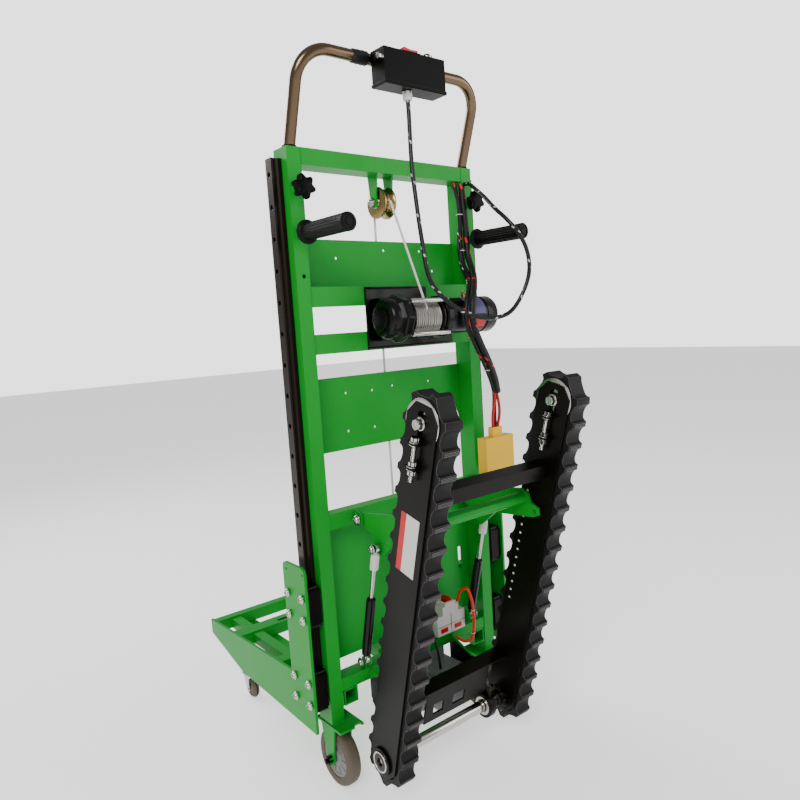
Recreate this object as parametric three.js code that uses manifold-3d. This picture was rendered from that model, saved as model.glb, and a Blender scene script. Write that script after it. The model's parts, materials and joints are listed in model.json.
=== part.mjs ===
// Stair-climbing, winch-lifting hand truck: a welded mast on four wheels, a load deck that rides on linear
// rails, a winch with its rope and pulley, a telescopic handle and a powered rubber-track unit behind.
// Millimetres, +Z up, +Y forward (load side), +X to the operator's right.
import * as THREE from 'three';
import { mergeVertices } from 'three/addons/utils/BufferGeometryUtils.js';
import Module from 'manifold-3d';

const wasm = await Module();
wasm.setup();

// ---------------------------------------------------------------- driving dimensions
const gap = 0.3; // clearance between touching pieces
const originY = 87.05; // the mast's rear face stands this far behind the middle of the object

const mast = { halfWidth: 235, tubeX: 30, tubeY: 50, top: 1307, foot: 151, wall: 2.5 };
const innerX = mast.halfWidth - mast.tubeX; // inner face of each upright
const crossbar = { bottom: 1275 };
const upperPlate = { bottom: 1047, top: 1142, rear: 44, front: 47 };
const midPlate = { bottom: 707, top: 861 };
const winchBars = { height: 39, depth: 25, upperTop: 1045, lowerTop: 952 };
const pivotBar = { bottom: 558, top: 591, depth: 30 };
const lowerPanel = { bottom: 262, slotX: 176, slotBottom: 362, slotTop: 417 };
const lowerTube = { bottom: 215, top: 241, depth: 36 };
const leg = { size: 33, innerX: 168, bottom: 181, front: 530 };
const rail = { width: 23, height: 22, y: 32.5, bottom: 192, top: 1287, pitch: 60, topHole: 1257 };

const wheel = { radius: 62, width: 30, x: 206, y: 28 };
const fork = { plateTop: 150, plateThick: 5, cheek: 4, plateRear: -33, plateFront: 62 };
const caster = { radius: 25, width: 18, x: 184.5, y: 512, trail: 16 };

const track = { y: -110, z: 106, lean: THREE.MathUtils.degToRad(15.25), length: 717 };
const belt = { innerX: 148, outerX: 187, inner: 38.5, base: 46, tip: 57.4, lugs: 37 };
const plateX = { inner: 143, outer: 192, thick: 4.4, half: 40 };
const crossBar = { along: 570, half: 15, off: 2 };
const channel = { top: 108, bottom: 32, depth: 36, sheet: 4 };
const shaft = { radius: 12.5, sprocketX: 130, bearingX: 92, leftBearingX: 130 };

const arm = { y: -14, z: 571, x: 136, thick: 6, barY: -213, barZ: 590, barRadius: 12.7 };
const strut = { x: 151, topY: -79, topZ: 525, footY: -12, footZ: 268, body: 9.5, rod: 4.5 };

const plate = { x: 271, thick: 6, rear: -9, front: 77, top: 499, bottom: 154, nose: 500 };
const block = { half: 35, length: 84, upperZ: 413, lowerZ: 235, boltY: 28.5, boltZ: 22.5 };
const deck = { top: 243, bottom: 215, halfWidth: 270.7 };
const rope = { radius: 2.5, y: 60, end: 372 };
const pulley = { y: 30, z: 1220, groove: 27.5, flange: 33, halfWidth: 16 };
const winch = { y: -62, z: 975, left: -89, drumLeft: -32, drumRight: 50.5, motorEnd: 206, plateBack: -0.3 };

const handle = { x: 220, y: 14.5, knee: 1307.5, lean: 0.36, rise: 179, corner: 61, radius: 11, foot: 1080 };
const controlBox = { halfX: 75, front: -66.5, rear: -109, bottom: 1417, top: 1481 };
const knob = { x: 220, z: 1228, radius: 24 };
const grip = { x: 220, z: 1145, stub: 26, length: 144, radius: 16 };
const breaker = { left: 54, right: 138, rear: -5, front: 31, height: 74 };
const connector = { x: 230, y: -45, halfX: 45, halfY: 14, top: 712, bottom: 606 };
const rocker = { x: -5, y: -96, halfX: 16.5, halfY: 8, rise: 9.5 };
const button = { x: 40, y: -97, radius: 7, rise: 7 };
const motor = { left: -88, caseLeft: 8, caseRight: 84, rear: -60, front: 20, bottom: 100, top: 186 };

// ---------------------------------------------------------------- materials
const paint = (color, roughness, metalness) =>
  new THREE.MeshStandardMaterial({ color, roughness, metalness });
const green = paint('#17b43c', 0.42, 0.05);
const black = paint('#1b1a1a', 0.45, 0.2);
const railBlack = paint('#26211f', 0.5, 0.5);
const rubber = paint('#2b2a29', 0.85, 0.0);
const tyreGrey = paint('#6f675e', 0.8, 0.0);
const steel = paint('#c4c2bd', 0.3, 0.95);
const zinc = paint('#a98f52', 0.35, 0.9);
const plastic = paint('#141414', 0.5, 0.0);
const whitePlastic = paint('#e4e2dc', 0.5, 0.0);
const redPlastic = paint('#c3201c', 0.45, 0.0);
const greyPaint = paint('#7d7f80', 0.5, 0.1);
const ropeSteel = paint('#b9b8b2', 0.4, 0.8);
const orange = paint('#d8431c', 0.5, 0.0);
const amber = paint('#dba128', 0.5, 0.0);

// ---------------------------------------------------------------- shape helpers
// Each helper returns a manifold solid, so shapes can be added and cut without any overlap being left.
function solid(geometry) {
  const bare = (geometry.index ? geometry.toNonIndexed() : geometry.clone());
  bare.deleteAttribute('normal');
  bare.deleteAttribute('uv');
  const merged = mergeVertices(bare, 1e-4);
  return new wasm.Manifold(new wasm.Mesh({
    numProp: 3,
    vertProperties: new Float32Array(merged.attributes.position.array),
    triVerts: new Uint32Array(merged.index.array),
  }));
}

function toGeometry(shape) {
  const mesh = shape.getMesh();
  const geometry = new THREE.BufferGeometry();
  geometry.setAttribute('position', new THREE.BufferAttribute(new Float32Array(mesh.vertProperties), 3));
  geometry.setIndex(new THREE.BufferAttribute(new Uint32Array(mesh.triVerts), 1));
  geometry.computeVertexNormals();
  return geometry;
}

const add = (...shapes) => shapes.flat().reduce((sum, next) => sum.add(next));
const cut = (shape, ...tools) => tools.flat().reduce((sum, next) => sum.subtract(next), shape);

function box(x0, x1, y0, y1, z0, z1) {
  const geometry = new THREE.BoxGeometry(x1 - x0, y1 - y0, z1 - z0);
  return solid(geometry.translate((x0 + x1) / 2, (y0 + y1) / 2, (z0 + z1) / 2));
}

function cylinder(axis, radius, from, to, at, sides = 20) {
  const geometry = new THREE.CylinderGeometry(radius, radius, to - from, sides);
  geometry.translate(0, (from + to) / 2, 0);
  if (axis === 'x') geometry.rotateZ(-Math.PI / 2).translate(0, at[0], at[1]);
  if (axis === 'y') geometry.translate(at[0], 0, at[1]);
  if (axis === 'z') geometry.rotateX(Math.PI / 2).translate(at[0], at[1], 0);
  return solid(geometry);
}

// An outline of (y, z) points, or a Shape, carried along X.
function prismX(outline, from, to) {
  const shape = outline instanceof THREE.Shape ? outline : new THREE.Shape(outline);
  const options = { depth: to - from, bevelEnabled: false, curveSegments: 5 };
  const geometry = new THREE.ExtrudeGeometry(shape, options);
  geometry.applyMatrix4(new THREE.Matrix4().set(0, 0, 1, from, 1, 0, 0, 0, 0, 1, 0, 0, 0, 0, 0, 1));
  return solid(geometry);
}

const point = (a, b) => new THREE.Vector2(a, b);

// A circular section carried along a curve.
function pipe(curve, radius, steps, sides) {
  const section = new THREE.Shape();
  section.absarc(0, 0, radius, 0, 2 * Math.PI);
  const options = { steps, extrudePath: curve, bevelEnabled: false, curveSegments: sides };
  return solid(new THREE.ExtrudeGeometry(section, options));
}

// A square tube along X, open at both ends.
function hollowX(x0, x1, y0, y1, z0, z1, wall) {
  const inside = box(x0 - 1, x1 + 1, y0 + wall, y1 - wall, z0 + wall, z1 - wall);
  return cut(box(x0, x1, y0, y1, z0, z1), inside);
}

function hexagon(axis, flats, from, to, at) {
  return cylinder(axis, flats / Math.sqrt(3), from, to, at, 6);
}

const mirrorX = (shape, side) => (side < 0 ? shape.mirror([1, 0, 0]) : shape);

const root = new THREE.Group();
root.name = 'stair_truck';
root.position.y = -originY;

function piece(name, shape, material, parent = root) {
  const mesh = new THREE.Mesh(toGeometry(shape), material);
  mesh.name = name;
  parent.add(mesh);
  return mesh;
}

const sides = [['left', -1], ['right', 1]];

// ---------------------------------------------------------------- mast
function upright(side) {
  const outer = mast.halfWidth;
  const bore = box(innerX + mast.wall, outer - mast.wall, mast.wall, mast.tubeY - mast.wall, mast.foot + 6,
    mast.top - mast.wall);
  const mouth = cylinder('z', handle.radius + 1.6, mast.top - 5, mast.top + 1, [handle.x, handle.y], 20);
  const tube = box(innerX, outer, 0, mast.tubeY, mast.foot, mast.top);
  const stub = cylinder('y', 9, -grip.stub, 1, [grip.x, grip.z], 14);
  const flange = cylinder('y', 17, -grip.stub, -grip.stub + 4, [grip.x, grip.z], 16);
  const boss = cylinder('y', 11, -8, 1, [knob.x, knob.z], 14);
  const hole = cylinder('y', 4, -1, mast.wall + 1, [grip.x - 2, 1065], 10);
  return mirrorX(cut(add(tube, stub, flange, boss), bore, mouth, hole), side);
}

function topCrossbar() {
  const reach = innerX - gap;
  const bar = hollowX(-reach, reach, 0, mast.tubeY, crossbar.bottom, mast.top, mast.wall);
  const ear = prismX([point(14, crossbar.bottom + 1), point(22, pulley.z - 10), point(38, pulley.z - 10),
    point(46, crossbar.bottom + 1)], 0, 4);
  const inner = pulley.halfWidth + 2;
  const left = ear.translate([-inner - 4, 0, 0]);
  const right = ear.translate([inner, 0, 0]);
  const axle = cylinder('x', 5, -inner - 9, inner + 9, [pulley.y, pulley.z], 12);
  const heads = [-1, 1].map((s) => {
    const edge = inner + 4;
    return hexagon('x', 15, s < 0 ? -edge - 6 : edge, s < 0 ? -edge : edge + 6, [pulley.y, pulley.z]);
  });
  return add(bar, left, right, axle, heads);
}

function upperPanel() {
  const reach = innerX - gap;
  const { rear, front, bottom, top } = upperPlate;
  const sheet = box(-reach, reach, rear, front, bottom - 6, top);
  const barBottom = winchBars.upperTop - winchBars.height;
  const bar = hollowX(-reach, reach, 0, winchBars.depth, barBottom, winchBars.upperTop, mast.wall);
  const web = box(-reach, reach, winchBars.depth - 1, upperPlate.front, upperPlate.bottom - 6,
    upperPlate.bottom - 3);
  const holes = [[-115, 1105], [7, 1123], [106, 1123], [141, 1079]].map(([x, z]) =>
    cylinder('y', 3, upperPlate.rear - 1, upperPlate.front + 1, [x, z], 8));
  return cut(add(sheet, bar, web), holes);
}

function lowerWinchBar() {
  const reach = innerX - gap;
  const bottom = winchBars.lowerTop - winchBars.height;
  return hollowX(-reach, reach, 0, winchBars.depth, bottom, winchBars.lowerTop, mast.wall);
}

function middlePanel() {
  const reach = innerX - gap;
  const sheet = box(-reach, reach, upperPlate.rear, upperPlate.front, midPlate.bottom, midPlate.top);
  const holes = [[-115, 826], [-48, 825], [7, 829], [110, 829], [-115, 745], [-47, 745]].map(([x, z]) =>
    cylinder('y', 3, upperPlate.rear - 1, upperPlate.front + 1, [x, z], 8));
  return cut(sheet, holes);
}

function pivotPanel() {
  const reach = innerX - gap;
  const bar = hollowX(-reach, reach, 0, pivotBar.depth, pivotBar.bottom, pivotBar.top, mast.wall);
  const { rear, front } = upperPlate;
  const shelf = box(-reach, reach, pivotBar.depth - 1, front, pivotBar.bottom, pivotBar.bottom + 3);
  const sheet = box(-reach, reach, rear, front, lowerPanel.bottom, pivotBar.bottom + 3);
  const slot = box(lowerPanel.slotX - 5, lowerPanel.slotX + 5, 40, 50, lowerPanel.slotBottom,
    lowerPanel.slotTop);
  const earX = arm.x + arm.thick / 2 + 1.6;
  const ears = [-1, 1].map((s) => {
    const outline = [point(1, pivotBar.bottom), point(arm.y - 12, arm.z - 12),
      point(arm.y - 12, arm.z + 10), point(1, pivotBar.top)];
    const bolt = cylinder('x', 5, arm.x - 12, earX + 4, [arm.y, arm.z], 12);
    const head = hexagon('x', 15, earX + 3.9, earX + 9, [arm.y, arm.z]);
    return mirrorX(add(prismX(outline, earX, earX + 4), bolt, head), s);
  });
  return cut(add(bar, shelf, sheet, ears), slot);
}

function lowerCrossTube() {
  const reach = innerX - gap;
  const bar = hollowX(-reach, reach, 0, lowerTube.depth, lowerTube.bottom, lowerTube.top, mast.wall);
  const lug = box(-40, 40, lowerTube.depth - 1, upperPlate.front, lowerTube.top - 3, lowerTube.top);
  const tabs = [-1, 1].map((s) => {
    const outline = [point(2, lowerTube.top - 1), point(strut.footY - 10, strut.footZ - 8),
      point(strut.footY - 6, strut.footZ + 9), point(strut.footY + 8, strut.footZ + 9),
      point(18, lowerTube.top - 1)];
    const tab = prismX(outline, strut.x - 10, strut.x - 6);
    const pin = cylinder('x', 4, strut.x - 7, strut.x + 9, [strut.footY, strut.footZ], 10);
    const head = hexagon('x', 12, strut.x + 8.9, strut.x + 13, [strut.footY, strut.footZ]);
    return mirrorX(add(tab, pin, head), s);
  });
  // two hanger plates carry the track unit's shaft in round bearing housings
  const hangers = [[-1, shaft.leftBearingX], [1, shaft.bearingX]].map(([s, x]) => {
    const outline = [point(1, lowerTube.top - 2), point(1, lowerTube.bottom - 40),
      point(track.y + 8, track.z - 24), point(track.y - 16, track.z - 14),
      point(track.y - 20, track.z + 12), point(track.y + 20, 200)];
    const plate = prismX(outline, x, x + 5);
    const housing = cylinder('x', 27, x - 7, x + 7, [track.y, track.z], 24);
    const bore = cylinder('x', shaft.radius + gap, x - 10, x + 10, [track.y, track.z], 20);
    return mirrorX(cut(add(plate, housing), bore), s);
  });
  return add(bar, lug, tabs, hangers);
}

function baseLeg(side) {
  const inner = leg.innerX;
  const outer = inner + leg.size;
  const top = leg.bottom + leg.size;
  const tube = box(inner, outer, 0, leg.front, leg.bottom, top);
  const bore = box(inner + 3, outer - 3, -1, leg.front - 40, leg.bottom + 3, top - 3);
  const weld = box(inner + 2, outer - 2, 2, lowerTube.depth - 2, top - 1, lowerTube.bottom + 1);
  const post = box(caster.x - 15, caster.x + 15, caster.y - 15, caster.y + 15, 74, leg.bottom + 1);
  const gusset = prismX([point(caster.y - 75, leg.bottom + 1), point(caster.y - 14, 120),
    point(caster.y - 14, leg.bottom + 1)], caster.x - 3, caster.x + 3);
  const joint = box(outer - 1, innerX - gap, 6, 44, leg.bottom + 4, top - 4);
  return mirrorX(add(cut(tube, bore), weld, post, gusset, joint), side);
}

function linearRail(side) {
  const x = mast.halfWidth + gap;
  const outer = x + rail.height;
  const half = rail.width / 2;
  const waist = half - 3;
  const outline = [point(x, rail.y - half), point(x + 8, rail.y - half), point(x + 11, rail.y - waist),
    point(x + 15, rail.y - waist), point(x + 18, rail.y - half), point(outer, rail.y - half),
    point(outer, rail.y + half), point(x + 18, rail.y + half), point(x + 15, rail.y + waist),
    point(x + 11, rail.y + waist), point(x + 8, rail.y + half), point(x, rail.y + half)];
  const shape = new THREE.Shape(outline);
  const length = rail.top - rail.bottom;
  const geometry = new THREE.ExtrudeGeometry(shape, { depth: length, bevelEnabled: false });
  const bar = solid(geometry.translate(0, 0, rail.bottom));
  const holes = [];
  for (let z = rail.topHole; z > rail.bottom + 10; z -= rail.pitch) {
    holes.push(cylinder('x', 5.5, outer - 9, outer + 1, [rail.y, z], 6));
  }
  return mirrorX(cut(bar, holes), side);
}

function gripSleeve(side) {
  const start = -grip.stub - gap;
  const end = start - grip.length;
  const body = cylinder('y', grip.radius, end, start - 4, [grip.x, grip.z], 16);
  const collar = cylinder('y', grip.radius + 7, start - 5, start, [grip.x, grip.z], 16);
  return mirrorX(add(body, collar), side);
}

function buildMast() {
  const group = new THREE.Group();
  group.name = 'mast';
  root.add(group);
  piece('top_crossbar', topCrossbar(), green, group);
  piece('upper_plate', upperPanel(), green, group);
  piece('winch_bar_lower', lowerWinchBar(), green, group);
  piece('middle_plate', middlePanel(), green, group);
  piece('pivot_crossbar', pivotPanel(), green, group);
  piece('base_frame', add(lowerCrossTube(), baseLeg(-1), baseLeg(1)), green, group);
  for (const [name, side] of sides) {
    piece(`upright_${name}`, upright(side), green, group);
    piece(`rail_${name}`, linearRail(side), railBlack, group);
    piece(`side_grip_${name}`, gripSleeve(side), rubber, group);
  }
}

// ---------------------------------------------------------------- wheels
function wheelFork(side) {
  const top = fork.plateTop;
  const { plateThick, plateRear, plateFront } = fork;
  const plate = box(innerX - 25, mast.halfWidth + 2, plateRear, plateFront, top - plateThick, top);
  const notch = cylinder('z', 9, top - 10, top + 10, [innerX - 12, fork.plateRear], 12);
  const outline = [point(fork.plateFront, top - 1), point(6, top - 1), point(20, wheel.radius - 12),
    point(wheel.y + 3, wheel.radius - 14), point(wheel.y + 14, wheel.radius - 2)];
  const outerX = wheel.x + wheel.width / 2 + 3;
  const innerCheek = wheel.x - wheel.width / 2 - 3;
  const cheeks = [[outerX, outerX + fork.cheek], [innerCheek - fork.cheek, innerCheek]];
  const walls = cheeks.map(([a, b]) => prismX(outline, a, b));
  const axle = cylinder('x', 6, cheeks[1][0] - 5, cheeks[0][1] + 5, [wheel.y, wheel.radius], 12);
  const head = hexagon('x', 17, cheeks[0][1], cheeks[0][1] + 8, [wheel.y, wheel.radius]);
  const nut = hexagon('x', 17, cheeks[1][0] - 8, cheeks[1][0], [wheel.y, wheel.radius]);
  return mirrorX(cut(add(plate, walls, axle, head, nut), notch), side);
}

function tyreProfile(radius, width, bore) {
  const half = width / 2;
  return [point(bore, -half), point(radius * 0.3, -half), point(radius * 0.36, -half + 4),
    point(radius * 0.66, -half + 4), point(radius * 0.7, -half), point(radius - 4, -half),
    point(radius, -half + 6), point(radius, half - 6), point(radius - 4, half), point(radius * 0.7, half),
    point(radius * 0.66, half - 4), point(radius * 0.36, half - 4), point(radius * 0.3, half),
    point(bore, half), point(bore, -half)];
}

function roller(radius, width, bore, segments) {
  const geometry = new THREE.LatheGeometry(tyreProfile(radius, width, bore), segments);
  return solid(geometry.rotateZ(-Math.PI / 2));
}

function casterFork(side) {
  const axle = caster.radius;
  const crown = box(caster.x - 15, caster.x + 15, caster.y - 15, caster.y + 14, 60, 63);
  const stem = cylinder('z', 10, 62, 73.6, [caster.x, caster.y], 16);
  const outline = [point(caster.y - 15, 61), point(caster.y - caster.trail - 7, axle - 5),
    point(caster.y - caster.trail + 7, axle - 5), point(caster.y + 10, 61)];
  const near = caster.width / 2 + 1.5;
  const cheeks = [-near - 3, near].map((x) => prismX(outline, caster.x + x, caster.x + x + 3));
  const pin = cylinder('x', 3, caster.x - near - 5, caster.x + near + 5,
    [caster.y - caster.trail, axle], 10);
  return mirrorX(add(crown, stem, cheeks, pin), side);
}

function buildWheels() {
  for (const [name, side] of sides) {
    piece(`wheel_fork_${name}`, wheelFork(side), green);
    const tyre = piece(`wheel_${name}`, roller(wheel.radius, wheel.width, 6 + gap, 30), tyreGrey);
    tyre.position.set(side * wheel.x, wheel.y, wheel.radius);
    piece(`caster_fork_${name}`, casterFork(side), steel);
    const small = piece(`caster_wheel_${name}`, roller(caster.radius, caster.width, 3 + gap, 16), tyreGrey);
    small.position.set(side * caster.x, caster.y - caster.trail, caster.radius);
  }
}

// ---------------------------------------------------------------- telescopic handle
// The legs stand upright inside the uprights, then lean back by handle.lean above the knee.
function handlePath() {
  const { x, y, knee, lean, rise, corner } = handle;
  const at = (px, h) => new THREE.Vector3(px, y - h * Math.sin(lean), knee + h * Math.cos(lean));
  const path = new THREE.CurvePath();
  const bend = (px) => new THREE.Vector3(px, y, knee - 0.2);
  path.add(new THREE.LineCurve3(new THREE.Vector3(-x, y, handle.foot), bend(-x)));
  path.add(new THREE.QuadraticBezierCurve3(bend(-x), new THREE.Vector3(-x, y, knee), at(-x, 14)));
  path.add(new THREE.LineCurve3(at(-x, 14), at(-x, rise - corner)));
  path.add(new THREE.QuadraticBezierCurve3(at(-x, rise - corner), at(-x, rise), at(corner - x, rise)));
  path.add(new THREE.LineCurve3(at(corner - x, rise), at(x - corner, rise)));
  path.add(new THREE.QuadraticBezierCurve3(at(x - corner, rise), at(x, rise), at(x, rise - corner)));
  path.add(new THREE.LineCurve3(at(x, rise - corner), at(x, 14)));
  path.add(new THREE.QuadraticBezierCurve3(at(x, 14), new THREE.Vector3(x, y, knee), bend(x)));
  path.add(new THREE.LineCurve3(bend(x), new THREE.Vector3(x, y, handle.foot)));
  return path;
}

function controlHousing() {
  const { halfX, front, rear, bottom, top } = controlBox;
  const body = box(-halfX, halfX, rear, front, bottom, top);
  const lid = box(-halfX - 1.5, halfX + 1.5, rear - 1.5, front + 1.5, bottom - 2, bottom + 3);
  const gland = hexagon('z', 18, bottom - 9, bottom - 1, [-8, -88]);
  const throat = cylinder('z', 6.5, bottom - 17, bottom - 8, [-8, -88], 12);
  const { x: rockerX, y: rockerY, halfX: rockerHalf, halfY: rockerDeep } = rocker;
  const bore = box(rockerX - rockerHalf - 1.8, rockerX + rockerHalf + 1.8, rockerY - rockerDeep - 1,
    rockerY + rockerDeep + 1, top - 12, top + 1);
  const buttonBore = cylinder('z', button.radius + 0.5, top - 7, top + 1, [button.x, button.y], 16);
  const levelZ = handle.knee + handle.rise * Math.cos(handle.lean);
  const clampY = handle.y - handle.rise * Math.sin(handle.lean);
  const straps = [-52, 40].map((x) => {
    const arm = box(x, x + 14, front - 1, clampY - handle.radius - gap, levelZ - 9, levelZ + 5);
    const ring = cylinder('x', handle.radius + 3.5, x, x + 14, [clampY, levelZ], 20);
    const inside = cylinder('x', handle.radius + gap, x - 1, x + 15, [clampY, levelZ], 20);
    return cut(add(arm, ring), inside);
  });
  const bolt = hexagon('x', 9, -halfX - 7, -halfX + 1, [-88, 1462]);
  return cut(add(body, lid, gland, throat, straps, bolt), bore, buttonBore);
}

function rockerSwitch() {
  const { x, y, halfX, halfY, rise } = rocker;
  const profile = [point(-halfX, -3), point(-halfX, rise), point(0, rise - 3), point(halfX, rise - 2),
    point(halfX, -3)];
  const shape = new THREE.Shape(profile);
  const geometry = new THREE.ExtrudeGeometry(shape, { depth: 2 * halfY, bevelEnabled: false });
  geometry.rotateX(Math.PI / 2).translate(x, y + halfY, controlBox.top);
  return solid(geometry);
}

function pushButton() {
  const { x, y, radius, rise } = button;
  const top = controlBox.top;
  const stem = cylinder('z', radius, top - 1, top + rise, [x, y], 18);
  return add(stem, cylinder('z', radius - 1.6, top + rise - 0.1, top + rise + 1.2, [x, y], 18));
}

function starKnob(side) {
  const shape = new THREE.Shape();
  const lobes = 6;
  for (let i = 0; i < lobes * 4; i += 1) {
    const angle = (i / (lobes * 4)) * 2 * Math.PI;
    const radius = knob.radius * (0.83 + 0.17 * Math.cos(lobes * angle));
    if (i === 0) shape.moveTo(radius, 0);
    else shape.lineTo(radius * Math.cos(angle), radius * Math.sin(angle));
  }
  const flat = new THREE.ExtrudeGeometry(shape, { depth: 16, bevelEnabled: false });
  const disc = solid(flat.rotateX(Math.PI / 2));
  const star = disc.translate([knob.x, -20, knob.z]);
  const hub = cylinder('y', 10, -21, -8 - gap, [knob.x, knob.z], 16);
  return mirrorX(add(star, hub), side);
}

function buildHandle() {
  piece('handle_bar', pipe(handlePath(), handle.radius, 52, 5), steel);
  piece('control_box', controlHousing(), plastic);
  piece('rocker_switch', rockerSwitch(), redPlastic);
  piece('push_button', pushButton(), plastic);
  for (const [name, side] of sides) piece(`star_knob_${name}`, starKnob(side), plastic);
}

// ---------------------------------------------------------------- winch, pulley and rope
function winchBody() {
  const { y, z, left, drumLeft, drumRight, motorEnd, plateBack } = winch;
  const mount = box(-79, 78, plateBack - 6, plateBack, 924, 1041);
  const lowMount = box(77, 150, plateBack - 6, plateBack, 924, 985);
  const gearCase = cylinder('x', 48, drumLeft - 30, drumLeft - 4, [y, z], 18);
  const cap = cylinder('x', 40, left, drumLeft - 29, [y, z], 18);
  const hub = hexagon('x', 22, left - 8, left + 1, [y, z]);
  const gearFoot = box(drumLeft - 28, drumLeft - 6, y + 20, plateBack - 5, z - 42, z + 42);
  const support = cylinder('x', 44, drumRight + 1.5, drumRight + 16, [y, z], 18);
  const supportFoot = box(drumRight + 2, drumRight + 15, y + 10, plateBack - 5, z - 40, z + 40);
  const can = cylinder('x', 37.5, drumRight + 15, motorEnd, [y, z], 18);
  const endBell = cylinder('x', 39, motorEnd - 26, motorEnd - 4, [y, z], 18);
  const rods = [30, -30].map((dz) => cylinder('x', 5, drumLeft - 8, drumRight + 5, [y - 40, z + dz], 10));
  const studs = [24, 50].map((dx) =>
    cylinder('z', 3.5, z + 30, z + 50, [drumRight + dx, y - 8], 8));
  const plates = add(mount, lowMount, gearFoot, supportFoot);
  return add(plates, gearCase, cap, hub, support, can, endBell, rods, studs);
}

function winchDrum() {
  const { y, z, drumLeft, drumRight } = winch;
  const core = cylinder('x', 30, drumLeft, drumRight, [y, z], 20);
  const flanges = [drumLeft, drumRight - 4].map((x) => cylinder('x', 36, x, x + 4, [y, z], 20));
  return add(core, flanges);
}

function ropePulley() {
  const { groove, flange, halfWidth } = pulley;
  const profile = [point(5 + gap, -halfWidth), point(flange, -halfWidth), point(flange, -halfWidth + 4),
    point(groove, -4), point(groove, 4), point(flange, halfWidth - 4), point(flange, halfWidth),
    point(5 + gap, halfWidth), point(5 + gap, -halfWidth)];
  return solid(new THREE.LatheGeometry(profile, 24).rotateZ(-Math.PI / 2));
}

function frontRope() {
  return cylinder('z', rope.radius, rope.end + gap, pulley.z, [0, rope.y], 8);
}

// The rope's fixed stretch: down from the pulley's rear side to the outer side of the drum.
function rearRope() {
  const start = new THREE.Vector3(0, -0.6, pulley.z);
  const end = new THREE.Vector3(7, winch.y - 31.4, winch.z + 12.5);
  return pipe(new THREE.LineCurve3(start, end), rope.radius, 1, 4);
}

function buildWinch() {
  piece('winch_body', winchBody(), black);
  piece('winch_drum', winchDrum(), ropeSteel);
  const wheelPiece = piece('rope_pulley', ropePulley(), zinc);
  wheelPiece.position.set(0, pulley.y, pulley.z);
  piece('rope_front', frontRope(), ropeSteel);
  piece('rope_rear', rearRope(), ropeSteel);
}

// ---------------------------------------------------------------- load carriage
function sidePlate(side) {
  const { x, thick, rear, front, top, bottom, nose } = plate;
  const outline = new THREE.Shape();
  outline.moveTo(rear, bottom);
  outline.lineTo(330, 165);
  outline.lineTo(nose, 210);
  outline.lineTo(nose, deck.top + 2);
  outline.lineTo(front, 262);
  outline.lineTo(front, top - 14);
  outline.quadraticCurveTo(front, top, front - 14, top);
  outline.lineTo(rear + 14, top);
  outline.quadraticCurveTo(rear, top, rear, top - 14);
  outline.closePath();
  const sheet = prismX(outline, x, x + thick);
  const heads = [];
  for (const z of [block.upperZ, block.lowerZ]) {
    for (const dz of [-block.boltZ, block.boltZ]) {
      for (const dy of [-block.boltY, block.boltY]) {
        heads.push(cylinder('x', 6.5, x + thick - 0.5, x + thick + 4, [rail.y + dy, z + dz], 10));
      }
    }
  }
  const holes = [-2, 62].map((y) => cylinder('x', 3, x - 1, x + thick + 1, [y, top - 14], 8));
  return mirrorX(cut(add(sheet, heads), holes), side);
}

function railBlock(side, z) {
  const base = mast.halfWidth + gap;
  const half = block.length / 2;
  const y = rail.y;
  const body = box(base + 5, plate.x - gap, y - block.half, y + block.half, z - half + 7, z + half - 7);
  const ends = [-1, 1].map((s) => {
    const edge = [z + s * half, z + s * (half - 7.5)].sort((a, b) => a - b);
    return box(base + 6, plate.x - 3, y - block.half + 3, y + block.half - 3, edge[0], edge[1]);
  });
  const way = rail.width / 2 + gap;
  const slot = box(base - 1, base + rail.height + gap, y - way, y + way, z - half - 1, z + half + 1);
  return mirrorX(cut(add(body, ends), slot), side);
}

function deckFrame() {
  const reach = deck.halfWidth;
  const tubes = [[160, 190, deck.bottom, deck.top], [351, 391, deck.bottom, deck.top],
    [475, 499, deck.bottom, deck.top], [54, 76, 340, 368], [54, 76, 282, 310]];
  const skins = tubes.map(([y0, y1, z0, z1]) => box(-reach, reach, y0, y1, z0, z1));
  const { wall } = mast;
  const bores = tubes.map(([y0, y1, z0, z1]) =>
    box(-reach - 1, reach + 1, y0 + wall, y1 - wall, z0 + wall, z1 - wall));
  const rails = [-222, -60, 60, 222].map((x) =>
    box(x - 12, x + 12, 56, 480, deck.bottom + 0.5, deck.top - 4));
  const posts = [-222, 222].map((x) => box(x - 10, x + 10, 55, 75, deck.bottom + 1, 341));
  const eye = cylinder('z', 5, 367, rope.end, [0, rope.y], 12);
  const hole = box(-160, -132, 362, 372, deck.top - 10, deck.top + 1);
  const bolt = hexagon('y', 19, 340, 352, [-120, deck.top - 14]);
  return cut(add(skins, rails, posts, eye, bolt), bores, hole);
}

function buildCarriage() {
  const group = new THREE.Group();
  group.name = 'carriage';
  root.add(group);
  for (const [name, side] of sides) {
    piece(`carriage_side_${name}`, sidePlate(side), green, group);
    piece(`rail_block_upper_${name}`, railBlock(side, block.upperZ), black, group);
    piece(`rail_block_lower_${name}`, railBlock(side, block.lowerZ), black, group);
  }
  piece('deck_frame', deckFrame(), green, group);
}

// ---------------------------------------------------------------- track unit
// Built upright about its drive shaft, then leaned back as one group.
const trackUnit = new THREE.Group();
trackUnit.name = 'track_unit';
trackUnit.position.set(0, track.y, track.z);
trackUnit.rotation.x = track.lean;
root.add(trackUnit);

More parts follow.
